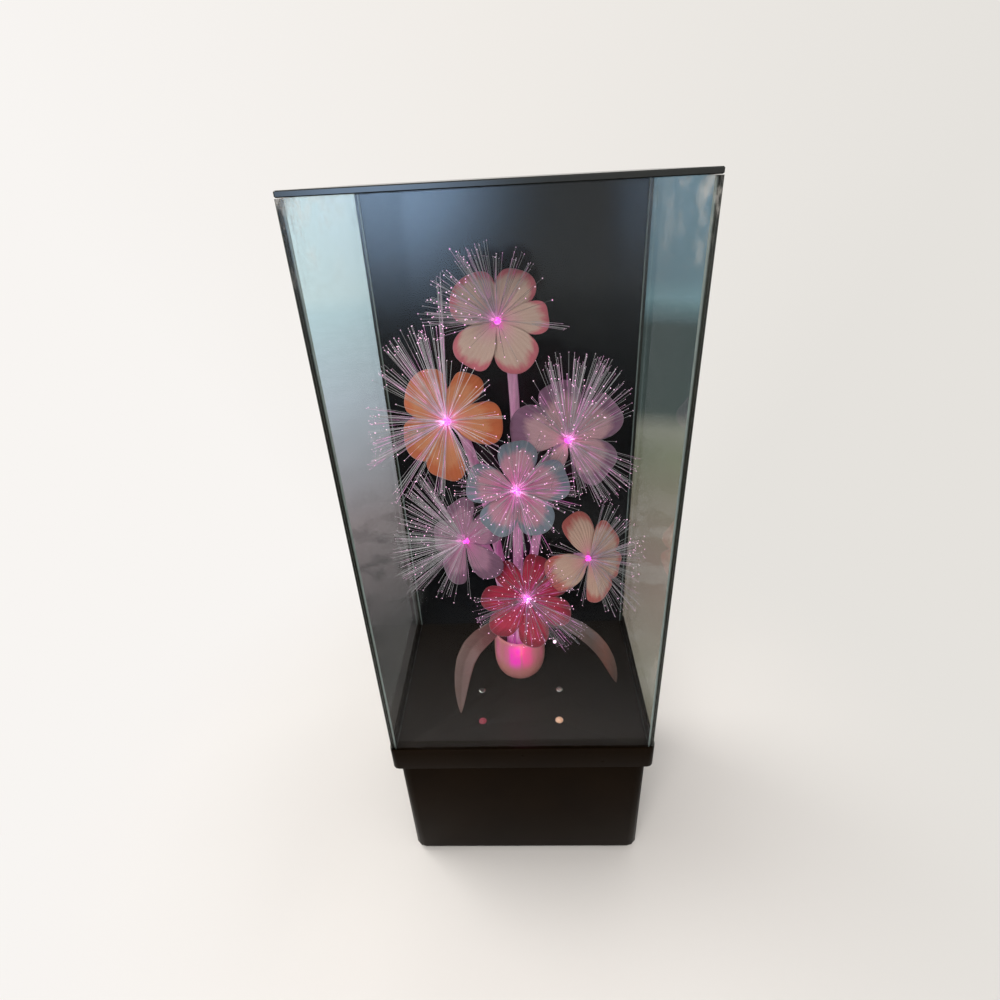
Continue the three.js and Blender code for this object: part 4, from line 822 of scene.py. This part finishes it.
def makeCup():
    low, high = cup["rise"], cup["height"]
    outer = [
        (cupOuter(max(z, 0)), max(z, low)) for z in (0, 0.5, 1.4, 3, 5.5, 9, 13, 18.5, 24, 30, 36, 41, 43.4)]
    lip = [(cup["mouth"] - 0.35, high), (cup["mouth"] - cup["wall"] + 0.35, high)]
    inner = [(cupOuter(z) - cup["wall"], max(z, cup["floor"])) for z in (43.4, 38, 30, 24, 18.5, 13, 9, 5.5)]
    profile = outer + lip + inner + [(cup["hole"], cup["floor"]), (cup["hole"], 2.4), (11.4, 2.4), (11.4, low)]
    bpy.ops.mesh.primitive_circle_add(vertices=len(profile), radius=1)
    made = active()
    for vertex, (radius, z) in zip(made.data.vertices, profile):
        vertex.co = (radius * mm, 0, z * mm)
    bpy.ops.object.mode_set(mode="EDIT")
    bpy.ops.mesh.select_all(action="SELECT")
    bpy.ops.mesh.spin(steps=72, angle=2 * pi, center=(0, 0, 0), axis=(0, 0, 1))
    bpy.ops.mesh.select_all(action="SELECT")
    bpy.ops.mesh.remove_doubles(threshold=0.01 * mm)
    bpy.ops.mesh.normals_make_consistent(inside=False)
    bpy.ops.object.mode_set(mode="OBJECT")
    made.name = made.data.name = "glowCup"
    made.location = (0, bouquet["axisY"] * mm, bouquet["deckZ"] * mm)
    return smoothed(made, 35)


def cupMaterial():
    # Frosted polypropylene, moulded: milky and waxy. The lit bundles inside show through its upper half as
    # upright pink streaks.
    material, add = newMaterial("frostedPolypropylene")
    place = add("TexCoord").outputs["Object"]
    split = add("SeparateXYZ", [add("Mapping", [place, (0, -bouquet["axisY"] * mm, 0)])])
    band = add("MapRange", [split.outputs["Z"], 0.135, 0.179])
    band = add("ValToRGB", [band], [(0.0, 0.0), (0.32, 0.05), (0.6, 1.0), (0.84, 1.0), (1.0, 0.35)], "EASE")
    # Share of a full turn, front at one quarter
    around = add("Math", [split.outputs["Y"], split.outputs["X"]], operation="ARCTAN2")
    around = add("Math", [add("Math", [around, 2 * pi], operation="DIVIDE"), 0.5], operation="ADD")
    stems = add("ValToRGB", [around], [
        (0.03, 0.0), (0.09, 0.25), (0.13, 0.12), (0.17, 0.3), (0.2, 0.95), (0.25, 1.0), (0.262, 0.3),
        (0.274, 0.85), (0.315, 0.7), (0.345, 0.25), (0.38, 0.1), (0.41, 0.2), (0.46, 0.0), (0.54, 0.2),
        (0.6, 0.0), (0.72, 0.35), (0.8, 0.0), (0.9, 0.2), (0.97, 0.0)], "EASE")
    uneven = add("TexNoise", [
        add("Mapping", {"Vector": place, "Scale": (1.0, 1.0, 0.4)}), 1 / (3 * mm), 2, 0.5])
    uneven = add("ValToRGB", [uneven], [(0.3, 0.75), (0.7, 1.0)])
    glow = add("Math", [add("Math", [band, stems], operation="MULTIPLY"), uneven], operation="MULTIPLY")
    tone = add("Mix", [add("TexNoise", [place, 1 / (14 * mm), 3, 0.5]), "#b87068", "#c98a80"], data_type="RGBA")
    grain = add("TexNoise", [place, 1 / (1.2 * mm), 2, 0.5])
    shader = add("BsdfPrincipled", {
        "Base Color": add("Mix", [glow, tone, "#8c2a50"], data_type="RGBA"), "Roughness": 0.38, "IOR": 1.49,
        "Emission Color": add("ValToRGB", [around], [(0.25, "#ff28d0"), (0.28, "#ff3aa0")]),
        "Emission Strength": add("Math", [glow, 0.7], operation="MULTIPLY"),
        "Normal": add("Bump", {"Height": grain, "Distance": 0.05 * mm})})
    add("OutputMaterial", [shader])
    return material


settle(makeCup(), cupMaterial(), ["pot"])
print("cup made")


def leafMaterial():
    # Moulded polyethylene leaf: thin, matte and faintly see-through, with ribs along it. Near the cup it is
    # painted pink, painted light, and a red-orange patch of painted light sits on the right blade; it is greyer
    # to the right.
    material, add = newMaterial("polyethyleneLeaf")
    place = add("TexCoord").outputs["Object"]
    ribs = add("TexNoise", [
        add("Mapping", {"Vector": place, "Scale": (0.25, 1.6, 0.25)}), 1 / (2.2 * mm), 2, 0.5])
    across = add("Math", [add("SeparateXYZ", [place]), 5], operation="MULTIPLY")
    # Painted light: pink near the cup (stop 0.4) and a red-orange patch on the right blade (stop 0.86)
    tone = add("ValToRGB", [add("Math", [across, 0.5], operation="ADD")], [
        (0.24, "#6a4a3e"), (0.4, "#9a4f5a"), (0.6, "#5a4038"), (0.8, "#4a3a30"), (0.86, "#8a4636"),
        (0.9, "#4e3a32")])
    tone = add("Mix", [add("TexNoise", [place, 1 / (18 * mm), 4, 0.6]), tone, "#74564a"], data_type="RGBA")
    tone = add("Mix", [add("Math", [ribs, 0.5], operation="MULTIPLY"), tone, "#423026"], data_type="RGBA")
    shader = add("BsdfPrincipled", {
        "Base Color": tone, "Roughness": 0.5, "IOR": 1.5,
        "Normal": add("Bump", {"Height": ribs, "Distance": 0.25 * mm})})
    add("OutputMaterial", [add("MixShader", [0.25, shader, add("BsdfTranslucent", [tone])])])
    return material


leaf = leafMaterial()

# Points of each blade's midrib, over the deck
blades = {
    "width": {"left": 16.5, "right": 13}, "root": 6.4, "swell": 0.36, "cloth": 0.8, "fold": 0.14,
    "rib": 0.5, "look": (0, -0.8, 0.6),
    "midribs": {
        "left": [
            (-14.2, 15.0, 20.0), (-14.2, 15.0, 25.1), (-14.2, 15.0, 30.3), (-14.0, 15.3, 35.5),
            (-13.6, 15.7, 40.8), (-14.6, 13.8, 46.4), (-18.4, 7.7, 51.6), (-24.0, 0.7, 53.8),
            (-31.4, -6.0, 52.4), (-38.8, -12.4, 48.0), (-43.9, -18.4, 40.4), (-46.8, -24.2, 29.8),
            (-48.3, -30.0, 19.6), (-48.8, -35.4, 11.0), (-49.0, -40.4, 3.1)],
        "right": [
            (14.2, 15.0, 20.0), (14.2, 15.0, 25.1), (14.2, 15.0, 30.3), (13.8, 15.1, 35.6), (13.2, 15.1, 40.9),
            (16.2, 14.8, 46.0), (26.8, 13.8, 50.8), (38.8, 11.5, 52.7), (50.4, 6.3, 50.3), (61.1, 0.1, 44.5),
            (68.8, -3.6, 36.6), (74.4, -5.9, 26.4), (78.0, -7.7, 17.2), (80.2, -8.9, 9.9), (81.8, -10.1, 3.1)]},
}


def makeBlade(name, midrib, width):
    bpy.ops.mesh.primitive_grid_add(x_subdivisions=8, y_subdivisions=42, size=2)
    made = active()
    made.name = made.data.name = name
    points = [Vector(point) + Vector((0, 0, bouquet["deckZ"])) for point in midrib]
    last = len(points) - 1
    for vertex in made.data.vertices:
        u, t = vertex.co.x, (vertex.co.y + 1) / 2
        k = min(int(t * last), last - 1)
        share = t * last - k
        along = (points[k + 1] - points[k]).normalized()
        before = (points[k] - points[max(k - 1, 0)]).normalized() or along
        after = (points[min(k + 2, last)] - points[k + 1]).normalized() or along
        along = ((before + along) * (1 - share) + (along + after) * share).normalized()
        middle = points[k].lerp(points[k + 1], share)
        side = along.cross(Vector(blades["look"])).normalized()
        out = along.cross(side).normalized()
        past = min(max(t - blades["swell"], 0) / (1 - blades["swell"]), 1)
        full = sin(pi * past ** 0.8) ** 0.75 if 0 < past < 1 else 0
        half = max(blades["root"] * sqrt(1 - t), width * full) / 2 + 0.05
        height = -blades["fold"] * abs(u) * half + blades["rib"] * exp(-(u / 0.16) ** 2) * full
        height += 0.12 * cos(u * 14) * full
        vertex.co = (middle + side * (u * half) + out * height) * mm
    modify(made, "SOLIDIFY", thickness=blades["cloth"] * mm, offset=0)
    modify(made, "SUBSURF", levels=1, render_levels=1)
    applyModifiers(made)
    bpy.ops.object.shade_smooth()
    return made


for side, midrib in blades["midribs"].items():
    piece = makeBlade("leafBlade" + side.capitalize(), midrib, blades["width"][side])
    settle(piece, leaf, ["leaf_blade_" + side])
settle(cadCopy("stem_leaf", "stemLeaf"), leaf, ["stem_leaf"])
print("leaves made")

# Jewels and screws in the deck
jewel = {"radius": 2.4, "height": 135.72, "rim": 2.62, "rimWire": 0.5, "rimHeight": 135.62}
jewelLooks = {
    "left": ("#6e1426", "#b0384e", 0.32, "jewel_red"),
    "right": ("#b98a6c", "#f2d6b8", 0.42, "jewel_clear"),
}
for side, (low, high, strength, slot) in jewelLooks.items():
    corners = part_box("deck_jewel_" + side)
    centre = (corners[0] + corners[1]) / 2
    bpy.ops.mesh.primitive_uv_sphere_add(segments=24, ring_count=12, radius=jewel["radius"] * mm)
    lens = active()
    for vertex in lens.data.vertices:
        vertex.co.z = vertex.co.z * 0.5 if vertex.co.z > 0 else vertex.co.z * 1.15
    lens.location = (centre.x, centre.y, jewel["height"] * mm)
    bpy.ops.object.shade_smooth()
    bpy.ops.mesh.primitive_torus_add(
        major_segments=32, minor_segments=8, major_radius=jewel["rim"] * mm, minor_radius=jewel["rimWire"] * mm)
    ring = active()
    ring.scale = (1, 1, 0.7)
    ring.location = (centre.x, centre.y, jewel["rimHeight"] * mm)
    bpy.ops.object.transform_apply(location=False, rotation=False, scale=True)
    bpy.ops.object.shade_smooth()
    looks = glowMaterial("litJewel_" + side, low, high, 1.6, strength)
    settle(joined([lens, ring], "jewelLens_" + side), looks, ["deck_jewel_" + side])


screw = {"radius": 2.9, "head": 1.6, "slotLength": 3.4, "slotWidth": 0.62, "shank": 1.5}


# Pan head with a cross recess, its top at the given place, upright or upside down
def makeScrew(name, top, length, down=False):
    head = screw["head"] * mm
    bpy.ops.mesh.primitive_cylinder_add(
        vertices=32, radius=screw["radius"] * mm, depth=head, location=(0, 0, -head / 2))
    made = active()
    modify(made, "BEVEL", width=0.8 * mm, segments=3, limit_method="ANGLE")
    applyModifiers(made)
    tools = []
    for turn in (0, pi / 2):
        bpy.ops.mesh.primitive_cube_add(size=1, location=(0, 0, 0.3 * mm), rotation=(0, 0, turn))
        tool = active()
        tool.scale = (screw["slotLength"] * mm, screw["slotWidth"] * mm, 2 * mm)
        modify(made, "BOOLEAN", operation="DIFFERENCE", solver="EXACT", object=tool)
        tools.append(tool)
    applyModifiers(made)
    for tool in tools:
        bpy.data.objects.remove(tool)
    bpy.ops.mesh.primitive_cylinder_add(
        vertices=16, radius=screw["shank"] * mm, depth=length - head, location=(0, 0, -(length + head) / 2))
    made = smoothed(joined([made, active()], name), 35)
    made.location = top
    made.rotation_euler = (pi if down else 0, 0, 0.4 * len(name) + top[0] * 40)
    return made


for i in range(1, 5):
    low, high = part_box(f"chassis_screw_{i}")
    top = ((low.x + high.x) / 2, (low.y + high.y) / 2, high.z)
    piece = makeScrew(f"panHeadScrew_{i}", top, high.z - low.z)
    settle(piece, nickelScrew, [f"chassis_screw_{i}"])
coverScrews = [(-0.084, -0.058), (0.084, -0.058), (-0.084, 0.058), (0.084, 0.058)]
for i, (x, y) in enumerate(coverScrews, 1):
    piece = makeScrew(f"coverScrew_{i}", (x, y, 0.0018), 0.0045, down=True)
    settle(piece, nickelScrew)

# On and off marks, printed on the paddle's two halves
paintWhite = plainMaterial("printedWhite", "#cfccc4", "#dcd9d2", 2, 0.5, 0.6)


def makeMark(kind, x):
    low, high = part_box("switch_rocker")
    paddle = bpy.data.objects["rockerPaddle"]
    _, place, normal, _ = paddle.ray_cast(Vector((x, 0.2, (low.z + high.z) / 2)), Vector((0, -1, 0)))
    if kind == "off":
        bpy.ops.mesh.primitive_torus_add(
            major_segments=28, minor_segments=6, major_radius=1.3 * mm, minor_radius=0.2 * mm)
    else:
        bpy.ops.mesh.primitive_cylinder_add(
            vertices=12, radius=0.2 * mm, depth=2.8 * mm, rotation=(pi / 2, 0, 0))
    made = active()
    bpy.ops.object.transform_apply(location=False, rotation=True, scale=False)
    made.matrix_world = Matrix.Translation(place) @ normal.to_track_quat("Z", "Y").to_matrix().to_4x4()
    made.scale = (1, 1, 0.3)
    bpy.ops.object.transform_apply(location=True, rotation=True, scale=True)
    return made


paddleMiddle = (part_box("switch_rocker")[0].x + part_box("switch_rocker")[1].x) / 2
marks = joined([makeMark("on", paddleMiddle - 5 * mm), makeMark("off", paddleMiddle + 5 * mm)], "rockerMarks")
settle(marks, paintWhite, body="rocker")
print("jewels and screws made")

# Light, floor and backdrop

# 1 for what the camera sees, straight on or mirrored, and 0 for what lights the lamp
def seenDirectly(add, path):
    camera, clear, glossy = [path.outputs[f"Is {kind} Ray"] for kind in ("Camera", "Transmission", "Glossy")]
    return add("Math", [add("Math", [camera, clear], operation="MAXIMUM"), glossy], operation="MAXIMUM")


# 1 where the camera looks through at least one clear sheet
def seenThroughPanes(add, path):
    deep = add("Math", [path.outputs["Transparent Depth"], 0.5], operation="GREATER_THAN")
    return add("Math", [path.outputs["Is Camera Ray"], deep], operation="MULTIPLY")


# Off-white, a little brighter on the left. A mirror ray that leaves towards the viewer finds the room instead.
def backdropColour(add, direction, roomTone):
    split = add("SeparateXYZ", [direction])
    across = add("Math", [add("Math", [split, 0.5], operation="MULTIPLY"), 0.5], operation="ADD")
    pale = add("ValToRGB", [across], [(0.2, "#f8f5f2"), (0.48, "#f0ece7"), (0.78, "#e5e2dd")])
    front = add("MapRange", [split.outputs["Y"], 0.15, -0.25])
    mirrored = add("Math", [front, add("LightPath").outputs["Is Glossy Ray"]], operation="MULTIPLY")
    return add("Mix", [mirrored, pale, roomTone], data_type="RGBA")


# 0 at 120 mm from the lamp's middle, 1 at 3 m
def wayOff(add, place):
    times = add("Math", [add("VectorMath", [place], operation="LENGTH"), 0.12], operation="DIVIDE")
    times = add("Math", [times, 1.0], operation="MAXIMUM")
    return add("Math", [times, 25.0], operation="LOGARITHM", use_clamp=True)


# The room as it shows through the panes: cool daylight far off, its floor darker close behind the lamp
def throughPanes(add, place):
    far = wayOff(add, place)
    left = add("ValToRGB", [far], [
        (0.02, "#4e4842"), (0.26, "#534f4d"), (0.48, "#a39494"), (0.72, "#d2dae2"), (0.94, "#def6fa"),
        (1.0, "#ecffff")])
    right = add("ValToRGB", [far], [
        (0.02, "#9a907e"), (0.14, "#b8b09c"), (0.37, "#b1988a"), (0.58, "#97987f"), (0.63, "#a8a695"),
        (0.67, "#535f5b"), (0.86, "#4d5957"), (0.94, "#86a6ac"), (1.0, "#748f98")])
    side = add("MapRange", [add("SeparateXYZ", [place]), -0.05, 0.05])
    local = add("TexCoord").outputs["Object"]
    blur = add("ValToRGB", [add("TexNoise", [local, 1 / (90 * mm), 3, 0.6])], [(0.3, 0.92), (0.7, 1.0)])
    # The floor is mottled
    blots = add("ValToRGB", [add("TexNoise", [local, 1 / (70 * mm), 3, 0.6])], [(0.48, 0.0), (0.58, 0.55)])
    mottle = add("ValToRGB", [far], [(0.08, 0.0), (0.16, 1.0), (0.42, 0.8), (0.55, 0.0)])
    mottle = add("Math", [mottle, blots], operation="MULTIPLY")
    left = add("Mix", [mottle, left, "#3a3a38"], data_type="RGBA")
    right = add("Mix", [mottle, right, "#d2c8bc"], data_type="RGBA")
    room = add("Mix", [side, left, right], data_type="RGBA")
    room = add("Mix", [1.0, room, blur], data_type="RGBA", blend_type="MULTIPLY")
    behind = add("SeparateXYZ", [add("VectorMath", [place], operation="NORMALIZE")]).outputs["Y"]
    return add("Mix", [add("MapRange", [behind, -0.35, 0.25]), "#e8e4df", room], data_type="RGBA")


def setWorld():
    world = bpy.data.worlds.new("room")
    world.use_nodes = True
    world.node_tree.nodes.clear()
    add = partial(addNode, world.node_tree)
    path = add("LightPath")
    direction = add("TexCoord").outputs["Generated"]
    # The backdrop counts as 3 m off
    far = add("VectorMath", [direction, (3, 3, 3)], operation="MULTIPLY")
    colour = add("Mix", [
        seenThroughPanes(add, path), backdropColour(add, direction, "#d4d6d6"), throughPanes(add, far)],
        data_type="RGBA")
    pale = add("Background", [colour, 1.0])
    light = add("Background", {"Color": (1, 0.985, 0.97, 1), "Strength": 0.62})
    add("OutputWorld", [add("MixShader", [seenDirectly(add, path), light, pale])])
    bpy.context.scene.world = world


def makeFloor():
    bpy.ops.mesh.primitive_plane_add(size=40)
    floor = active()
    floor.name = "floor"
    material, add = newMaterial("paleTable")
    path = add("LightPath")
    place = add("TexCoord").outputs["Object"]
    direction = add("VectorMath", [place], operation="NORMALIZE")
    far = add("VectorMath", [place], operation="LENGTH")
    far = add("MapRange", [far, 0.12, 0.5], interpolation_type="SMOOTHSTEP")
    # Painted shade: the table is painted darker on the left and lighter on the right
    across = add("MapRange", [add("SeparateXYZ", [place]), -0.2, 0.2])
    tone = add("Mix", [across, "#d6d2ce", "#eeeae6"], data_type="RGBA")
    tone = add("Mix", [add("TexNoise", [place, 1 / (300 * mm), 2, 0.5]), tone, "#e9e5e0"], data_type="RGBA")
    table = add("BsdfPrincipled", {"Base Color": tone, "Roughness": 0.55, "IOR": 1.4})
    # Painted shadow: the pale floor is painted a little darker just in front of the lamp
    frontShadow = add("MapRange", [add("SeparateXYZ", [direction]).outputs["Y"], -0.82, -1.0])
    past = add("Math", [far, 3.0], operation="MULTIPLY", use_clamp=True)
    frontShadow = add("Math", [add("Math", [frontShadow, past], operation="MULTIPLY"), 0.12], operation="MULTIPLY")
    roomFloor = add("ValToRGB", [wayOff(add, place)], [
        (0.3, "#20160f"), (0.68, "#443e36"), (0.93, "#a2a4a2"), (1.0, "#d4d6d6")])
    pale = add("Emission", [
        backdropColour(add, direction, roomFloor), add("Math", [1.0, frontShadow], operation="SUBTRACT")])
    near = add("Math", [seenDirectly(add, path), far], operation="MULTIPLY")
    near = add("MixShader", [near, table, pale])
    room = add("Emission", [throughPanes(add, place), 1.0])
    add("OutputMaterial", [add("MixShader", [seenThroughPanes(add, path), near, room])])
    floor.data.materials.append(material)


def areaLight(name, place, target, size, power, colour):
    data = bpy.data.lights.new(name, "AREA")
    data.shape, data.size, data.energy, data.color = "SQUARE", size, power, colour
    made = newObject(name, data)
    made.location = place
    made.rotation_euler = (Vector(target) - Vector(place)).to_track_quat("-Z", "Y").to_euler()


def pointLight(name, placeMm, power, colour, radiusMm):
    data = bpy.data.lights.new(name, "POINT")
    data.energy, data.color, data.shadow_soft_size = power, colour, radiusMm * mm
    newObject(name, data).location = Vector(placeMm) * mm


setWorld()
makeFloor()
areaLight("keyLight", (-1.3, 0.45, 1.8), (0, 0, 0.2), 1.1, 20, (1.0, 0.99, 0.97))
areaLight("fillLight", (-0.5, -1.7, 1.3), (0, 0, 0.3), 1.2, 24, (1.0, 0.97, 0.95))
for name, flower in flowers.items():
    pointLight(
        "glow_" + name, flower["centre"] + flower["normal"] * 7, 0.0046 * flower["glow"], (1.0, 0.26, 0.72), 3)
pointLight("glow_cup", (0, bouquet["axisY"] - 26, 173), 0.004, (1.0, 0.12, 0.45), 5)


# A soft bluish window in front on the left, seen only as the sheen that it leaves on the panes
def windowCard():
    bpy.ops.mesh.primitive_plane_add(size=1)
    card = active()
    card.name = "windowCard"
    for vertex in card.data.vertices:
        vertex.co = (vertex.co.x * 1.1 - 0.32, -1.275, vertex.co.y * 1.2 + 0.62)
    material, add = newMaterial("windowLight")
    # The glow's middle on the card and its half widths
    middle, half = (-0.32, -1.275, 0.6), (0.5, 1, 0.56)
    out = add("Mapping", {
        "Vector": add("TexCoord").outputs["Object"], "Location": [-m / h for m, h in zip(middle, half)],
        "Scale": [1 / h for h in half]})
    out = add("VectorMath", [out], operation="LENGTH")
    soft = add("MapRange", [out, 0.1, 1.0, 1.0, 0.0], interpolation_type="SMOOTHSTEP")
    glow = add("Emission", ["#a9c6e8", add("Math", [soft, 11.0], operation="MULTIPLY")])
    add("OutputMaterial", [add("MixShader", [soft, add("BsdfTransparent"), glow])])
    card.data.materials.append(material)
    card.visible_camera = card.visible_diffuse = card.visible_shadow = False


windowCard()
bpy.context.scene.view_settings.view_transform = "Standard"
print("light set")

bpy.context.view_layer.update()
